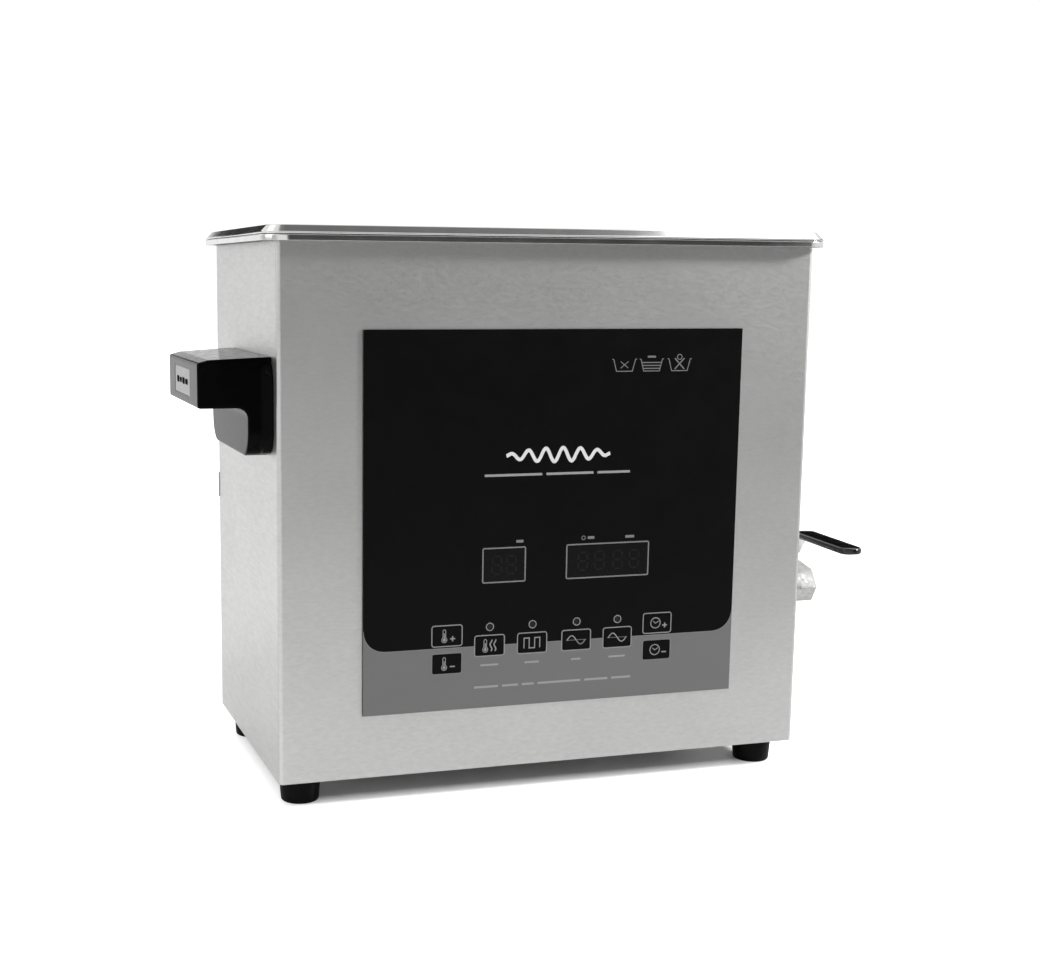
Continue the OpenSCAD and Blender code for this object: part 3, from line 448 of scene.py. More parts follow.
def raw_object(name, build):
    mesh = bpy.data.meshes.new(name)
    mesh.from_pydata([[c * MM for c in p] for p in build.points], [], build.faces)
    clean(mesh)
    obj = bpy.data.objects.new(name, mesh)
    bpy.context.scene.collection.objects.link(obj)
    return obj


def bevel(obj, width, segments=2, angle=40):
    modifier = obj.modifiers.new("edges", "BEVEL")
    modifier.width = width * MM
    modifier.segments = segments
    modifier.limit_method = "ANGLE"
    modifier.angle_limit = math.radians(angle)


def piece(name, build, slot, body, nodes=(), look=None, edge=0.0, angle=32):
    """Makes a piece from collected solids."""
    obj = raw_object(name, build)
    if edge:
        bevel(obj, edge)
        settle(obj)
    smooth_by_angle(obj.data, angle)
    return place(obj, look or LOOKS[slot], body, nodes)


def cad_copy(node):
    """A welded copy of a CAD node's mesh, to be worked on as the piece that replaces it."""
    obj = bpy.data.objects.new(node + "_piece", frame["nodes"][node].data.copy())
    bpy.context.scene.collection.objects.link(obj)
    clean(obj.data)
    return obj


def softened(node, voxel, rounds, angle=60):
    """A CAD node with its edges rounded all over, as on a moulding or a casting."""
    obj = cad_copy(node)
    remesh = obj.modifiers.new("skin", "REMESH")
    remesh.mode = "VOXEL"
    remesh.voxel_size = voxel * MM
    smooth = obj.modifiers.new("round", "SMOOTH")
    smooth.factor = 0.5
    smooth.iterations = rounds
    settle(obj)
    smooth_by_angle(obj.data, angle)
    return place(obj, LOOKS[SLOT_OF[node]], BODY_OF[node], [node])


def edged(node, width, segments=2, angle=40):
    """A CAD node with its sharp edges broken."""
    obj = cad_copy(node)
    work = bmesh.new()
    work.from_mesh(obj.data)
    bmesh.ops.dissolve_limit(work, angle_limit=math.radians(1), verts=work.verts, edges=work.edges)
    work.to_mesh(obj.data)
    work.free()
    bevel(obj, width, segments, angle)
    settle(obj)
    smooth_by_angle(obj.data, 38)
    return place(obj, LOOKS[SLOT_OF[node]], BODY_OF[node], [node])


def cut(obj, build):
    """Takes the collected solids away from an object."""
    tool = raw_object("tool", build)
    modifier = obj.modifiers.new("cut", "BOOLEAN")
    modifier.operation = "DIFFERENCE"
    modifier.solver = "EXACT"
    modifier.object = tool
    settle(obj)
    bpy.data.objects.remove(tool)


# ---- Tank, rim and lid ----

def arc(cx, cz, r, start, end, steps=4):
    """(inset, z) points of a quarter round in a wall's section."""
    turn = [math.radians(start + (end - start) * i / steps) for i in range(steps + 1)]
    return [(cx + r * math.cos(a), cz + r * math.sin(a)) for a in turn]


def wall_rings(section, hx, hy, corner, steps=10):
    """Rings for a section of (inset, z) points round a rectangle with round corners."""
    return [rounded_ring(hx - d, hy - d, max(corner - d, 1.2), z, steps, CX) for d, z in section]


# Half sizes and corner radius of the rim, the tub and the lid's sunk middle, in plan.
RIM = (RIM_X, RIM_Y, 15)
TUB = (150, 75, 14)
PAN = (148, 73, 12)

# Tank: a flat-sided rim with a round upper edge, a flat ledge and the drawn tub. The skin starts at the outer
# face of the tub's floor and ends at its inner face, and the two caps close them.
RIM_LOW = TOP_Z
BOWL_R = 8
rim_outer = [(1.2, RIM_LOW + 0.6), (1.05, RIM_LOW + 0.1), (0.8, RIM_LOW), (0.2, RIM_LOW), (0.15, RIM_LOW),
             (0.04, RIM_LOW + 0.05), (0, RIM_LOW + 0.16), (0, RIM_LOW + 0.22), (0.02, RIM_TOP - 0.95),
             (0.03, RIM_TOP - 0.85), (0.1, RIM_TOP - 0.6), (0.3, RIM_TOP - 0.3), (0.7, RIM_TOP - 0.06),
             (0.9, RIM_TOP - 0.01), (1.1, RIM_TOP), (2.0, RIM_TOP)]
rim_under = [(2.0, RIM_TOP - 1), (1.5, RIM_TOP - 1.3), (1.3, RIM_TOP - 1.8)]
tub_in = [(-2.2, RIM_TOP), (-1.2, RIM_TOP - 0.12), (-0.4, RIM_TOP - 0.6), (0, RIM_TOP - 1.6),
          (0, TANK_FLOOR + BOWL_R)]
tub_in += arc(BOWL_R, TANK_FLOOR + BOWL_R, BOWL_R, 180, 270)[1:] + [(20, TANK_FLOOR)]
tub_out = [(20, TANK_FLOOR - 1)] + arc(BOWL_R, TANK_FLOOR + BOWL_R, BOWL_R + 1, 270, 180)
tub_out += [(-1, RIM_TOP - 2.4), (-1.8, RIM_TOP - 1)]
rings = (wall_rings(tub_out, *TUB) + wall_rings(rim_under, *RIM) + wall_rings(rim_outer, *RIM)
         + wall_rings(tub_in, *TUB))
tank_piece = raw_object("tank_shell", Build().loft(rings))
DRAIN_X, DRAIN_R = 125, 9.2
cut(tank_piece, Build().lathe([(DRAIN_R, -4), (DRAIN_R, 4)], (CX + DRAIN_X, 0, TANK_FLOOR), (0, 0, 1)))
smooth_by_angle(tank_piece.data, 40)
place(tank_piece, LOOKS["tank_steel"], "housing", ["tank"])

# Lid: a thin lip, a slope at 45 degrees, a flat border and a sunk middle.
LID_TOP, PAN_LOW = LID_HIGH.z, LID_LOW.z
LIP = RIM_TOP
lid_edge = [(1.5, LIP + 0.30), (0.9, LIP + 0.12), (0.45, LIP + 0.1), (0.1, LIP + 0.3), (0, LIP + 0.6),
            (0.15, LIP + 0.9), (0.55, LIP + 1.05), (0.95, LIP + 1.25), (1.25, LIP + 1.6), (1.4, LIP + 1.76),
            (3.95, LID_TOP - 0.58), (4.1, LID_TOP - 0.42), (4.5, LID_TOP - 0.14), (5.0, LID_TOP - 0.03),
            (5.6, LID_TOP)]
pan_in = [(-1.6, LID_TOP), (-0.6, LID_TOP - 0.2), (0.4, LID_TOP - 0.7), (0.8, LID_TOP - 1.7),
          (0.8, PAN_LOW + 3.8), (1.0, PAN_LOW + 2.4), (1.9, PAN_LOW + 1.2), (3.4, PAN_LOW + 0.8),
          (12, PAN_LOW + 0.8)]
pan_out = [(12, PAN_LOW), (3.2, PAN_LOW), (1.4, PAN_LOW + 0.6), (0.3, PAN_LOW + 1.9), (0, PAN_LOW + 3.6),
           (0, LID_TOP - 1.9), (-0.4, LID_TOP - 1.0), (-1.4, LID_TOP - 0.8)]
lid_under = [(5.6, LID_TOP - 0.8), (4.9, LID_TOP - 0.9), (2.0, LIP + 1.5), (1.7, LIP + 0.9)]
rings = (wall_rings(pan_out, *PAN) + wall_rings(lid_under, *RIM) + wall_rings(lid_edge, *RIM)
         + wall_rings(pan_in, *PAN))
lid_piece = raw_object("lid_shell", Build().loft(rings))
smooth_by_angle(lid_piece.data, 40)
place(lid_piece, LOOKS["lid_steel"], "lid", ["lid"])


# ---- Mouldings, castings and pressings ----

softened("side_handle", 0.6, 7)
softened("lid_handle", 0.55, 6)
edged("valve_body", 0.9, 3)
edged("packing_nut", 0.5)

# The lever's sleeve is a flattened tube with a round end.
GRIP_LOW, GRIP_HIGH = box_mm("lever_grip")
STEM_LOW, STEM_HIGH = box_mm("valve_stem")
stem_at = (STEM_LOW + STEM_HIGH) / 2
GRIP_TURN = math.radians(-95)
GRIP_START, GRIP_END, GRIP_HALF, GRIP_EDGE = 21.7, 96, 7.3, 1.7
GRIP_THICK = (GRIP_HIGH.z - GRIP_LOW.z) / 2
GRIP_TIP = 6


def grip_ring(along, half, thick):
    """Section of the sleeve: a flat shape with round edges, along millimetres from the stem."""
    corner = min(GRIP_EDGE, thick * 0.9, half * 0.9)
    ring = []
    for across, z in circle_line(0, 0, corner, steps=32):
        across += math.copysign(half - corner, across)
        z += math.copysign(thick - corner, z)
        ring.append((stem_at.x + along * math.cos(GRIP_TURN) - across * math.sin(GRIP_TURN),
                     stem_at.y + along * math.sin(GRIP_TURN) + across * math.cos(GRIP_TURN),
                     (GRIP_LOW.z + GRIP_HIGH.z) / 2 + z))
    return ring


def grip_end(end, way, steps, thickness):
    """Rings of a round end, from the tip inwards. The first ring is GRIP_TIP degrees round from the tip."""
    rings = []
    for step in range(steps + 1):
        a = math.radians(GRIP_TIP + (90 - GRIP_TIP) * step / steps)
        swell = math.sin(a)
        along = end + way * GRIP_HALF * (1 - math.cos(a))
        rings.append(grip_ring(along, GRIP_HALF * swell, GRIP_THICK * thickness(swell)))
    return rings


rings = grip_end(GRIP_START, 1, 9, lambda swell: min(1, 0.7 + 0.3 * swell))
rings += reversed(grip_end(GRIP_END, -1, 12, lambda swell: 0.45 + 0.55 * swell ** 0.5))
piece("lever_grip_sleeve", Build().loft(rings), "grip_vinyl", BODY_OF["lever_grip"], ["lever_grip"], angle=50)

for node, width in (("drain_lock_nuts", 0.8), ("valve_lever", 0.4), ("fan_frame", 0.5), ("power_inlet", 0.5),
                    ("switch_housing", 0.4), ("power_rocker", 0.3), ("heat_sink", 0.3)):
    edged(node, width)

# Feet: tapered rubber with a round lower edge, a shallow ring groove and a deep screw hole.
FEET_LOW, FEET_HIGH = box_mm("rubber_feet")
FOOT_R = 12.25
FOOT_SEAT = 7
foot_spots = [(x, y) for x in (FEET_LOW.x + FOOT_R, FEET_HIGH.x - FOOT_R)
              for y in (FEET_LOW.y + FOOT_R, FEET_HIGH.y - FOOT_R)]
feet = Build()
foot_profile = [(2.3, BASE_Z), (2.3, FOOT_SEAT), (4.6, FOOT_SEAT), (4.6, 0.5), (5.1, 0), (7.2, 0), (7.5, 0.5),
                (8.1, 0.5), (8.4, 0), (9.5, 0), (10.3, 0.2), (10.8, 0.7), (11.05, 1.5), (11.5, 7),
                (12.15, BASE_Z - 0.4), (12.0, BASE_Z)]
for x, y in foot_spots:
    feet.lathe(foot_profile, (x, y, 0), (0, 0, 1), 56, closed=True)
piece("feet_rubber", feet, "foot_rubber", "housing", ["rubber_feet"], angle=50)


SCREW_HEAD = [(0.01, -2.2), (1.6, -2.15), (2.7, -1.85), (3.5, -1.2), (3.8, -0.5), (3.75, 0)]
SHANK_R, THREAD_DEPTH, HALF_PITCH = 1.95, 0.25, 0.35


def level_box(hx, hy, z):
    """Corners of a level rectangle round the origin."""
    return [(-hx, -hy, z), (hx, -hy, z), (hx, hy, z), (-hx, hy, z)]


def screws(name, node, spots, length, extra=None):
    """Pan-head screws with a cross recess. A spot is the head's seat and the way that the shank points."""
    crests = range(int((length - 1.2) / HALF_PITCH))
    thread = [(SHANK_R - THREAD_DEPTH * (i % 2), 1 + HALF_PITCH * i) for i in crests]
    profile = SCREW_HEAD + [(SHANK_R, 0)] + thread + [(1.6, length), (0.01, length)]
    one = raw_object("one_screw", Build().lathe(profile, (0, 0, 0), (0, 0, 1), 24))
    for w, h in ((2.1, 0.38), (0.38, 2.1)):
        cut(one, Build().loft([level_box(w, h, -3), level_box(w * 0.55, h, -1.1)]))
    work = bmesh.new()
    for spot, way in spots:
        turn = Vector((0, 0, 1)).rotation_difference(Vector(way)).to_matrix().to_4x4()
        copy = one.data.copy()
        copy.transform(Matrix.Translation(Vector(spot) * MM) @ turn)
        work.from_mesh(copy)
        bpy.data.meshes.remove(copy)
    if extra:
        work.from_mesh(extra.data)
        bpy.data.objects.remove(extra)
    work.to_mesh(one.data)
    work.free()
    one.name = name
    smooth_by_angle(one.data, 40)
    return place(one, LOOKS[SLOT_OF[node]], BODY_OF[node], [node])


FAN_LOW, FAN_HIGH = box_mm("fan_frame")
FAN_X, FAN_Z = (FAN_LOW.x + FAN_HIGH.x) / 2, (FAN_LOW.z + FAN_HIGH.z) / 2
FRONT_Y = CASING_LOW.y
FROM_EDGE, FAN_SCREW, FAN_GUARD_T = 8, 25, 2.4
side_screw = SIDE_X - FROM_EDGE
# Screws of the base plate's front and sides, the back panel, the fan and the handle, whose heads are inside.
short = [((CX + x, FRONT_Y + FROM_EDGE, BASE_Z), (0, 0, 1)) for x in (-120, 0, 120)]
short += [((CX + s * side_screw, y, BASE_Z), (0, 0, 1)) for s in (-1, 1) for y in (-35, 35)]
short += [((CX + s * side_screw, BACK_Y, BASE_Z + z), (0, -1, 0)) for s in (-1, 1) for z in (40, 150, 285)]
short += [((FAN_X + sx * FAN_SCREW, BACK_Y + FAN_GUARD_T, FAN_Z + sz * FAN_SCREW), (0, -1, 0))
          for sx in (-1, 1) for sz in (-1, 1)]
short += [((CX - SIDE_X + 1, y, BASE_Z + z), (-1, 0, 0)) for y in (-60, 20) for z in (200, 226)]
screws("casing_screws", "panel_screws", short, 6.0)
nuts = Build()
nut_profile = [(2.1, 17.3), (3.3, 17.3), (3.9, 17.6), (3.9, 19.9), (3.3, 20.2), (2.1, 20.2)]
for x, y in foot_spots:
    nuts.lathe(nut_profile, (x, y, 0), (0, 0, 1), 6, True)
screws("feet_screws", "foot_screws", [((x, y, FOOT_SEAT), (0, 0, 1)) for x, y in foot_spots], 14.7,
       raw_object("nuts", nuts))
screws("lid_screws", "lid_handle_screws", [((CX + s * 46, 0, PAN_LOW), (0, 0, 1)) for s in (-1, 1)], 7.0)

# Outlet thread inside the valve's end.
VALVE_END = box_mm("valve_body")[1].x
DRAIN_Z = BASE_Z + 78.6
thread = [(7.7, -8.4)]
for i in range(6):
    thread += [(7.45, -8.3 + 1.3 * i), (6.9, -7.65 + 1.3 * i)]
thread += [(7.45, -0.5), (7.7, -0.4)]
outlet = Build().lathe(thread, (VALVE_END, 0, DRAIN_Z), (1, 0, 0), 48, True)
piece("outlet_thread", outlet, "valve_steel", "housing")


# ---- Basket: woven wire on the CAD's bent wires ----

MESH_LOW, MESH_HIGH = box_mm("basket_mesh")
weave = Build()
PITCH, WIRE, BEND, LAYER = 5.0, 0.4, 5.0, 0.35
FROM_CORNER, FIRST_RING = 4, 6
x0, x1, y0, y1 = MESH_LOW.x + WIRE, MESH_HIGH.x - WIRE, MESH_LOW.y + WIRE, MESH_HIGH.y - WIRE
z0, z1 = MESH_LOW.z + WIRE, MESH_HIGH.z - WIRE


def hoop(low, high, lift):
    """(across, z) line of a wire that comes down a side, crosses the floor and goes up the other side."""
    turn = [math.radians(180 + 90 * i / 5) for i in range(6)]
    left = [(low + BEND + BEND * math.cos(a), z0 + BEND + BEND * math.sin(a)) for a in turn]
    right = [(low + high - u, w) for u, w in reversed(left)]
    return [(u, w + lift) for u, w in [(low, z1)] + left + right + [(high, z1)]]


def spaced(low, high):
    """Places from low to high, about PITCH apart."""
    count = int((high - low) / PITCH)
    return [low + (high - low) * i / count for i in range(count + 1)]


for y in spaced(y0 + FROM_CORNER, y1 - FROM_CORNER):
    weave.tube([(u, y, w) for u, w in hoop(x0, x1, 0.0)], WIRE, 6)
for x in spaced(x0 + FROM_CORNER, x1 - FROM_CORNER):
    weave.tube([(x, u, w) for u, w in hoop(y0, y1, LAYER)], WIRE, 6)
mid_x, mid_y = (x0 + x1) / 2, (y0 + y1) / 2
for z in spaced(z0 + FIRST_RING, z1):
    ring = rounded_ring((x1 - x0) / 2 - LAYER, (y1 - y0) / 2 - LAYER, 4, z, 4, mid_x)
    weave.tube([(x, y + mid_y, w) for x, y, w in ring], WIRE, 6, closed=True)
piece("basket_weave", weave, "basket_sheet", "basket", ["basket_mesh"], angle=80)


# ---- Printing on the control panel ----

INK = 0.04
RAISED = 0.08
KEY_W, KEY_H = 17.0, 11.0
HOLE_HW, HOLE_HH = KEY_W / 2 + 0.3, KEY_H / 2 + 0.3
KEYS = {}
for key in ("temp_up", "temp_down", "heat", "degas", "soft", "normal", "time_up", "time_down"):
    low, high = box_mm("key_" + key)
    KEYS["key_" + key] = ((low.x + high.x) / 2, (low.z + high.z) / 2)
EDGE_KEYS = ("key_heat", "key_degas", "key_soft", "key_normal")


def px(x):
    """A place across the casing, from its middle, in the row frame."""
    return CX + x


def pz(z):
    """A height above the casing's lower edge, in the row frame."""
    return BASE_Z + z


EDGE_Z, BAND_R = pz(73.1), 12.5


def band_outline():
    """The grey band's closed (x, z) line, with notches for the four keys that stand in its upper edge."""
    left, right, low = PANEL_LOW.x, PANEL_HIGH.x, PANEL_LOW.z
    line = [(left, low), (right, low)] + circle_line(right - BAND_R, EDGE_Z + BAND_R, BAND_R, 0, -90, 10)
    for key in reversed(EDGE_KEYS):
        x, z = KEYS[key]
        line += [(x + HOLE_HW, EDGE_Z), (x + HOLE_HW, z - HOLE_HH),
                 (x - HOLE_HW, z - HOLE_HH), (x - HOLE_HW, EDGE_Z)]
    return line + circle_line(left + BAND_R, EDGE_Z + BAND_R, BAND_R, -90, -180, 10)


def flat_shape(name, loops, y, thick, look):
    """A thin flat solid from closed (x, z) lines; the second and later lines are holes."""
    curve = bpy.data.curves.new(name, "CURVE")
    curve.dimensions = "2D"
    curve.fill_mode = "BOTH"
    curve.extrude = thick / 2 * MM
    for loop in loops:
        spline = curve.splines.new("POLY")
        spline.points.add(len(loop) - 1)
        for point, (x, z) in zip(spline.points, loop):
            point.co = (x * MM, z * MM, 0, 1)
        spline.use_cyclic_u = True
    temporary = bpy.data.objects.new(name + "_line", curve)
    bpy.context.scene.collection.objects.link(temporary)
    graph = bpy.context.evaluated_depsgraph_get()
    mesh = bpy.data.meshes.new_from_object(temporary.evaluated_get(graph))
    bpy.data.objects.remove(temporary)
    upright = Matrix.Rotation(math.radians(90), 4, "X")
    mesh.transform(Matrix.Translation((0, (y - thick / 2) * MM, 0)) @ upright)
    clean(mesh, 1e-7)
    obj = bpy.data.objects.new(name, mesh)
    bpy.context.scene.collection.objects.link(obj)
    return place(obj, look, "housing")


def box_line(x, z, hw, hh):
    return [(x - hw, z - hh), (x + hw, z - hh), (x + hw, z + hh), (x - hw, z + hh)]


holes = [box_line(*KEYS[key], HOLE_HW, HOLE_HH) for key in ("key_temp_down", "key_time_down")]
flat_shape("panel_band", [band_outline()] + holes, FACE_Y, INK, PRINT_BAND)

light, dim, frames = Build(), Build(), Build()
# Thin light line along the band's upper edge, broken at the keys.
LINE_W = 0.5
band_ends = (PANEL_LOW.x + BAND_R, PANEL_HIGH.x - BAND_R)
key_sides = [KEYS[key][0] + s * (KEY_W / 2 + 1.1) for key in EDGE_KEYS for s in (-1, 1)]
stops = [band_ends[0]] + key_sides + [band_ends[1]]
for a, b in zip(stops[::2], stops[1::2]):
    dim.ribbon([(a, EDGE_Z), (b, EDGE_Z)], LINE_W, FACE_Y, RAISED)
for x, start in zip(band_ends, (180, 270)):
    dim.ribbon(circle_line(x, EDGE_Z + BAND_R, BAND_R - 0.1, start, start + 90, 12), LINE_W, FACE_Y, RAISED)

for key, (x, z) in KEYS.items():
    target = dim if key.endswith("_down") else frames
    target.ribbon(rounded_line(x, z, KEY_W + 1.2, KEY_H + 1.2, 1.4), 0.55, FACE_Y, RAISED, closed=True)

# Rings round the indicator lights.
for x in (-38.5, -12.2, 15.5, 41.5):
    frames.ribbon(circle_line(px(x), pz(84.2), 2.2), LINE_W, FACE_Y, RAISED, closed=True)

WINDOW_LOW, WINDOW_HIGH = box_mm("display_windows")
WINDOW_Z, WINDOW_H = (WINDOW_LOW.z + WINDOW_HIGH.z) / 2, WINDOW_HIGH.z - WINDOW_LOW.z
WINDOWS = ((WINDOW_LOW.x + 12.5, 25), (WINDOW_HIGH.x - 25.5, 51))
for x, w in WINDOWS:
    dim.ribbon(rounded_line(x, WINDOW_Z, w + 0.9, WINDOW_H + 0.9, 0.8), 0.8, FACE_Y, RAISED, closed=True)

# Plain bars where a panel of this kind has captions.
soft = Build()
for x, w in ((-21, 4.4), (47.9, 5.6)):
    dim.bar(px(x) - w / 2, pz(132.7), px(x) + w / 2, pz(134.3), FACE_Y, INK)
dim.bar(px(21.2), pz(133.0), px(25.4), pz(134.6), FACE_Y, INK)
dim.ribbon(circle_line(px(18.6), pz(133.8), 1.1, steps=16), 0.4, FACE_Y, INK, closed=True)
for key, w in zip(EDGE_KEYS, (11, 9, 6, 10.5)):
    x = KEYS[key][0]
    soft.bar(x - w / 2, pz(61.2), x + w / 2, pz(62.3), FACE_Y - INK, INK)


def words(x0, x1, z, height, widths, gap):
    """A row of plain bars of the given relative widths between x0 and x1."""
    unit = (x1 - x0 - gap * (len(widths) - 1)) / sum(widths)
    x = x0
    for w in widths:
        soft.bar(x, z - height / 2, x + w * unit, z + height / 2, FACE_Y - INK, INK)
        x += w * unit + gap


words(px(-47.8), px(50.8), pz(48.8), 1.3, (6, 4, 3, 11, 6, 5), 2.4)
words(px(-43), px(46.8), pz(172), 1.4, (12, 10, 7), 2.6)

# Emblem: a run of waves that grows and dies away.
EMBLEM_X, EMBLEM_Z, EMBLEM_W, EMBLEM_H, EMBLEM_WAVES = -30, 183, 64, 4.0, 6
wave = []
for i in range(121):
    t = i / 120
    swing = EMBLEM_H * math.sin(math.pi * t) ** 0.6 * math.sin(2 * math.pi * EMBLEM_WAVES * t)
    wave.append((px(EMBLEM_X + EMBLEM_W * t), pz(EMBLEM_Z) + swing))
light.ribbon(wave, 2.0, FACE_Y, RAISED)


def tub_symbol(x, kind):
    """A plain tub: kind 0 has a cross, 1 has level lines and 2 has a cross and a ring."""
    z0, z1 = pz(230.2), pz(237.0)
    h0, h1 = 5.0, 6.8
    rim = [(x - h1 - 0.9, z1 + 0.2), (x - h1, z1), (x - h0, z0),
           (x + h0, z0), (x + h1, z1), (x + h1 + 0.9, z1 + 0.2)]
    dim.ribbon(rim, LINE_W, FACE_Y, INK)
    if kind == 0:
        for s in (-1, 1):
            dim.ribbon([(x - s * 2.4, z0 + 1.8), (x + s * 2.4, z1 - 1.2)], 0.45, FACE_Y - INK * (s > 0), INK)
    if kind == 1:
        for k in range(3):
            half = h0 + 0.1 + 0.45 * k
            dim.ribbon([(x - half, z0 + 1.5 + 1.7 * k), (x + half, z0 + 1.5 + 1.7 * k)], 0.55, FACE_Y, INK)
        dim.bar(x - 2.6, z1 + 0.9, x + 2.6, z1 + 2.0, FACE_Y, INK)
    if kind == 2:
        for s in (-1, 1):
            dim.ribbon([(x - s * 3.0, z0 + 1.0), (x + s * 3.0, z1 + 0.4)], 0.7, FACE_Y - INK * (s > 0), INK)
        dim.ribbon(circle_line(x, z1 + 1.2, 1.5, steps=16), 0.45, FACE_Y, INK, closed=True)


for i, x in enumerate((41.6, 58.7, 76.5)):
    tub_symbol(px(x), i)
piece("panel_print", light, "overlay_film", "housing", look=PRINT_LIGHT, angle=20)
piece("panel_print_soft", soft, "overlay_film", "housing", look=PRINT_SOFT, angle=20)
piece("panel_print_frames", frames, "overlay_film", "housing", look=PRINT_FRAME, angle=20)
piece("panel_print_dim", dim, "overlay_film", "housing", look=PRINT_DIM, angle=20)

# Unlit figures behind the display windows.
figures = Build()
# Ends of a figure's seven strokes, in widths and heights of the figure.
STROKES = (((0, 1), (1, 1)), ((1, 0.5), (1, 1)), ((1, 0), (1, 0.5)), ((0, 0), (1, 0)),
           ((0, 0), (0, 0.5)), ((0, 0.5), (0, 1)), ((0, 0.5), (1, 0.5)))
FIGURE_W, FIGURE_H, STROKE_W, STROKE_GAP, STROKE_T = 5.6, 10.4, 1.1, 0.9, 0.03


def figure(x, z):
    """All the strokes of one figure, from its lower left corner."""
    for (ax, az), (bx, bz) in STROKES:
        p, q = (x + FIGURE_W * ax, z + FIGURE_H * az), (x + FIGURE_W * bx, z + FIGURE_H * bz)
        gap = Vector((q[0] - p[0], q[1] - p[1])).normalized() * STROKE_GAP
        stroke = [(p[0] + gap.x, p[1] + gap.y), (q[0] - gap.x, q[1] - gap.y)]
        figures.ribbon(stroke, STROKE_W, FACE_Y, STROKE_T)


for (middle, _), places in zip(WINDOWS, ((-7.2, 1.6), (-18.5, -8.0, 3.5, 14.0))):
    for x in places:
        figure(middle + x, WINDOW_Z - FIGURE_H / 2)
piece("display_figures", figures, "display_film", "housing", look=SEGMENT_OFF, angle=20)


# ---- Symbols on the keys, each on its own key ----

def thermometer(build, x, z, y):
    build.ribbon([(x - 0.8, z - 1.0), (x - 0.8, z + 2.9)] + circle_line(x, z + 2.9, 0.8, 180, 0, 8)[1:]
                 + circle_line(x, z - 2.3, 1.55, 60, -240, 20), 0.4, y, INK)
    build.disc(x, z - 2.3, 0.95, y, INK)
    build.ribbon([(x, z - 1.3), (x, z + 1.5)], 0.6, y, INK)


def clock(build, x, z, y):
    build.ribbon(circle_line(x, z, 3.1), 0.55, y, INK, closed=True)
    build.ribbon([(x - 1.5, z + 1.1), (x, z - 0.2), (x + 2.0, z + 1.0)], 0.45, y, INK)


def sign(build, x, z, y, plus):
    build.ribbon([(x - 1.5, z), (x + 1.5, z)], 0.75, y, INK)
    if plus:
        for s in (-1, 1):
            build.ribbon([(x, z + s * 0.375), (x, z + s * 1.5)], 0.75, y, INK)


def sine(x0, x1, z, height, start):
    """Half a wave from x0 to x1."""
    turn = [math.pi * i / 24 for i in range(25)]
    return [(x0 + (x1 - x0) * a / math.pi, z + height * math.sin(start + a)) for a in turn]


SIGN_W = 0.6
for key, (x, z) in KEYS.items():
    build, faint = Build(), Build()
    y = FACE_Y
    if key.startswith("key_temp"):
        thermometer(build, x - 1.6, z, y)
        sign(build, x + 3.4, z - 1.8, y, key.endswith("up"))
    elif key.startswith("key_time"):
        clock(build, x - 1.0, z, y)
        sign(build, x + 5.0, z - 1.6, y, key.endswith("up"))
    elif key == "key_heat":
        thermometer(build, x - 2.6, z, y)
        for dx in (0.9, 3.3):
            warmth = [(x + dx + 0.6 * math.sin(t * 0.9), z - 3.4 + t * 0.75) for t in range(10)]
            build.ribbon(warmth, 0.7, y, INK)
    elif key == "key_degas":
        steps = [(-5, -3), (-5, 3), (-1.8, 3), (-1.8, -3), (1.6, -3), (1.6, 3), (4.8, 3), (4.8, -3)]
        build.ribbon([(x + dx, z + dz) for dx, dz in steps], SIGN_W, y, INK)
    else:
        build.ribbon(sine(x - 5.8, x, z, 2.6, 0), SIGN_W, y, INK)
        half = build if key == "key_normal" else faint
        half.ribbon(sine(x, x + 5.8, z, 2.6, math.pi), SIGN_W, y, INK)
        faint.ribbon([(x - 6.4, z), (x + 6.4, z)], 0.25, y, INK * 0.5)
    piece(key + "_symbol", build, "key_film", key, look=PRINT_FRAME, angle=20)
    if faint.points:
        piece(key + "_symbol_dim", faint, "key_film", key, look=PRINT_DIM, angle=20)

# The label in the handle's recess, with a plain row of blocks in place of a mark.
LABEL_LOW, LABEL_HIGH = box_mm("handle_label")
LABEL_BACK = 0.12
label_plate, label = Build(), Build()
half_y, half_z = (LABEL_HIGH.y - LABEL_LOW.y) / 2, (LABEL_HIGH.z - LABEL_LOW.z) / 2
label_t = LABEL_HIGH.x - LABEL_LOW.x - LABEL_BACK
label_plate.bar(-half_y, -half_z, half_y, half_z, 0, label_t, 0.8)
for x, w, h in ((-19.5, 8.6, 3.8), (-9.4, 7.4, 3.0), (-0.5, 8.8, 3.8), (9.8, 9.6, 3.2)):
    label.bar(x, -h / 2, x + w, h / 2, -label_t, INK, 1.2)
label_y, label_z = (LABEL_LOW.y + LABEL_HIGH.y) / 2, (LABEL_LOW.z + LABEL_HIGH.z) / 2
for build in (label_plate, label):
    build.points = [(LABEL_HIGH.x + y, label_y - x, label_z + z) for x, y, z in build.points]
piece("handle_label_plate", label_plate, "label_film", "housing", ["handle_label"], angle=30)
piece("handle_label_mark", label, "label_film", "housing", look=PRINT_MATT, angle=20)


# ---- Floor, light and camera ----

floor = raw_object("floor", Build().loft([rounded_ring(6000, 6000, 800, z, 8) for z in (0, -20)]))
floor_look = Look("floor_look", (0.86, 0.86, 0.86), 0.20, Specular_IOR_Level=0.5)
floor_look.shade(floor_look.noise(160, 2), 0.01)
floor_look.gloss(floor_look.noise(60, 3), 0.03)
floor_calc, floor_between = floor_look.calc, floor_look.between
floor_at = floor_look.add("ShaderNodeSeparateXYZ", Vector=floor_look.where).outputs
rays = floor_look.tree.nodes.new("ShaderNodeLightPath").outputs
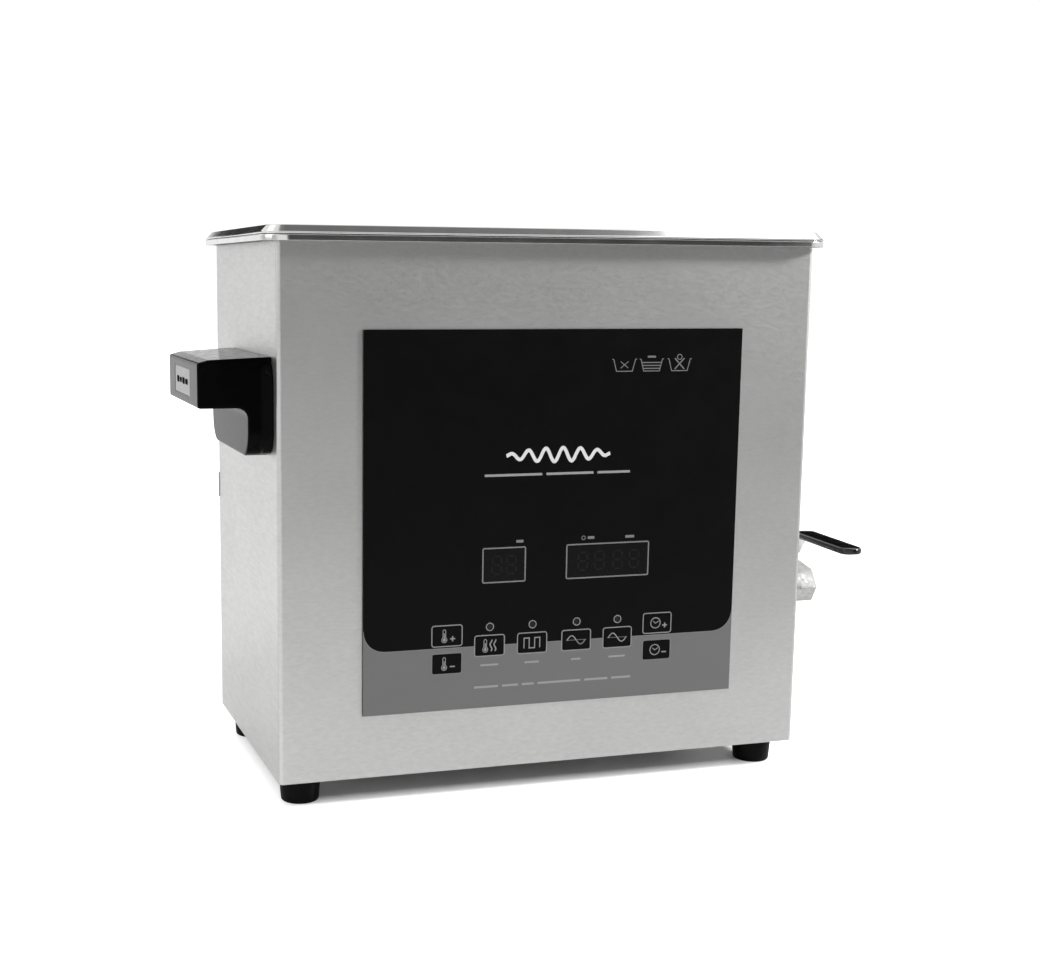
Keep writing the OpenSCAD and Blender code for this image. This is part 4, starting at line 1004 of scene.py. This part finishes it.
# How far a point of the floor is outside the casing's outline, in metres.
outside = []
for axis, middle, half in (("X", CX, SIDE_X), ("Y", 0, BACK_Y)):
    off = floor_calc("ABSOLUTE", floor_calc("SUBTRACT", floor_at[axis], middle * MM))
    outside.append(floor_calc("SUBTRACT", off, half * MM))
reach = floor_calc("MAXIMUM", *outside)
# Lifted to plain white away from the object, and left to its real shading under it. What the camera sees is
# lifted most. The far front, which the front of the casing reflects, is lifted for the camera only.
near = floor_between(floor_at["Y"], -3.4, -1.4, 0, 1)
share = floor_calc("MAXIMUM", near, floor_calc("MULTIPLY", rays["Is Camera Ray"], 1.8))
lift = floor_calc("MULTIPLY", floor_between(reach, -0.022, 0.008, 0, 0.6), share)
lift = floor_calc("ADD", lift, floor_between(floor_at["Y"], 0.4, 1.6, 0, 0.3))
# Polished metal sees a darker floor to the right and behind.
weaker = floor_calc("MAXIMUM", floor_between(floor_at["X"], -0.3, 0.6, 0.55, 1.0),
                    floor_between(floor_at["Y"], 0.1, 0.9, 0, 0.6))
kept = floor_calc("SUBTRACT", 1.0, floor_calc("MULTIPLY", rays["Is Glossy Ray"], weaker))
lift = floor_calc("MULTIPLY", lift, kept)
floor_look.tree.links.new(lift, floor_look.shader.inputs["Emission Strength"])
floor_look.set("Emission Color", (1, 1, 1, 1))
floor.data.materials.append(floor_look.material)

world = bpy.data.worlds.new("studio")
bpy.context.scene.world = world
world.use_nodes = True
tree = world.node_tree
background = tree.nodes["Background"]
direction = tree.nodes.new("ShaderNodeTexCoord").outputs["Generated"]


def lobe(way, inner, outer, at_centre, away=1.0):
    """A factor that changes between two angles, in degrees, from a direction."""
    dot = tree.nodes.new("ShaderNodeVectorMath")
    dot.operation = "DOT_PRODUCT"
    tree.links.new(direction, dot.inputs[0])
    dot.inputs[1].default_value = Vector(way).normalized()
    far, near = math.cos(math.radians(outer)), math.cos(math.radians(inner))
    return range_node(tree, dot.outputs["Value"], far, near, away, at_centre, "SMOOTHSTEP")


def dark_above(start, end, way, inner, outer, depth):
    """A factor that darkens a lobe by depth, above a height that fades in from start to end."""
    above = range_node(tree, up, start, end, 0.0, 1.0, "SMOOTHSTEP")
    dark = math_node(tree, "MULTIPLY", above, lobe(way, inner, outer, depth, 0.0))
    return math_node(tree, "SUBTRACT", 1.0, dark)


def towards(azimuth, elevation):
    """Direction by angle from +Y towards +X, and angle above the floor."""
    a, e = math.radians(azimuth), math.radians(elevation)
    return (math.sin(a) * math.cos(e), math.cos(a) * math.cos(e), math.sin(e))


# The studio is dark behind and above the camera and, above its white backdrop, at the back.
parts = tree.nodes.new("ShaderNodeSeparateXYZ")
tree.links.new(direction, parts.inputs[0])
up = parts.outputs["Z"]
factors = [lobe(towards(163, 9), 17, 28, 0.075),
           lobe(towards(176, 55), 22, 44, 0.40),
           lobe(towards(138, 33), 18, 38, 0.60),
           lobe((0.1, 0.0, 1.0), 17, 25, 0.30),
           lobe(towards(-90, 5), 25, 50, 0.60),
           dark_above(0.125, 0.152, towards(1, 12), 7, 11, 0.96),
           dark_above(0.03, 0.08, towards(26, 11), 13, 18, 0.99),
           lobe((-0.44, 0.46, 0.76), 8, 16, 1.45)]
strength = 1.05
for factor in factors:
    strength = math_node(tree, "MULTIPLY", factor, strength)
# The backdrop that the camera sees is plain white.
seen = tree.nodes.new("ShaderNodeMix")
seen.data_type = "RGBA"
tree.links.new(tree.nodes.new("ShaderNodeLightPath").outputs["Is Camera Ray"], seen.inputs[0])
grey = tree.nodes.new("ShaderNodeCombineColor")
for i in range(3):
    tree.links.new(strength, grey.inputs[i])
tree.links.new(grey.outputs[0], seen.inputs[6])
seen.inputs[7].default_value = (1.1, 1.1, 1.1, 1)
tree.links.new(seen.outputs[2], background.inputs["Color"])
background.inputs["Strength"].default_value = 1.0


def soft_light(name, place_at, target, size, power, spread=180):
    data = bpy.data.lights.new(name, "AREA")
    data.shape = "RECTANGLE"
    data.spread = math.radians(spread)
    data.size, data.size_y = size
    data.energy = power
    obj = bpy.data.objects.new(name, data)
    obj.location = place_at
    obj.rotation_euler = (Vector(target) - Vector(place_at)).to_track_quat("-Z", "Y").to_euler()
    bpy.context.scene.collection.objects.link(obj)


soft_light("key_light", (1.41, -0.65, 1.03), (0.05, -0.09, 0.31), (0.3, 0.3), 4.2, 55)
soft_light("left_light", (-1.6, -0.1, 0.9), (0, 0, 0.15), (1.0, 1.0), 5)
soft_light("top_light", (1.07, 0.2, 1.465), (0, 0, 0.2), (0.7, 0.9), 4)

camera_data = bpy.data.cameras.new("camera")
camera = bpy.data.objects.new("camera", camera_data)
bpy.context.scene.collection.objects.link(camera)
yaw, pitch, roll = (math.radians(degrees) for degrees in (17.1, 9.04, 0.39))
forward = Vector((math.sin(yaw) * math.cos(pitch), math.cos(yaw) * math.cos(pitch), -math.sin(pitch)))
level = Vector((math.cos(yaw), -math.sin(yaw), 0))
right = level * math.cos(roll) + level.cross(forward) * math.sin(roll)
matrix = Matrix((right, right.cross(forward), -forward)).transposed().to_4x4()
matrix.translation = Vector((-0.3533, -0.9302, 0.3003))
camera.matrix_world = matrix
camera_data.lens = 54.76
camera_data.sensor_width = 36
camera_data.shift_x, camera_data.shift_y = 0.1027, 0.038
camera_data.clip_start = 0.01
bpy.context.scene.camera = camera
bpy.context.scene.view_settings.view_transform = "Standard"
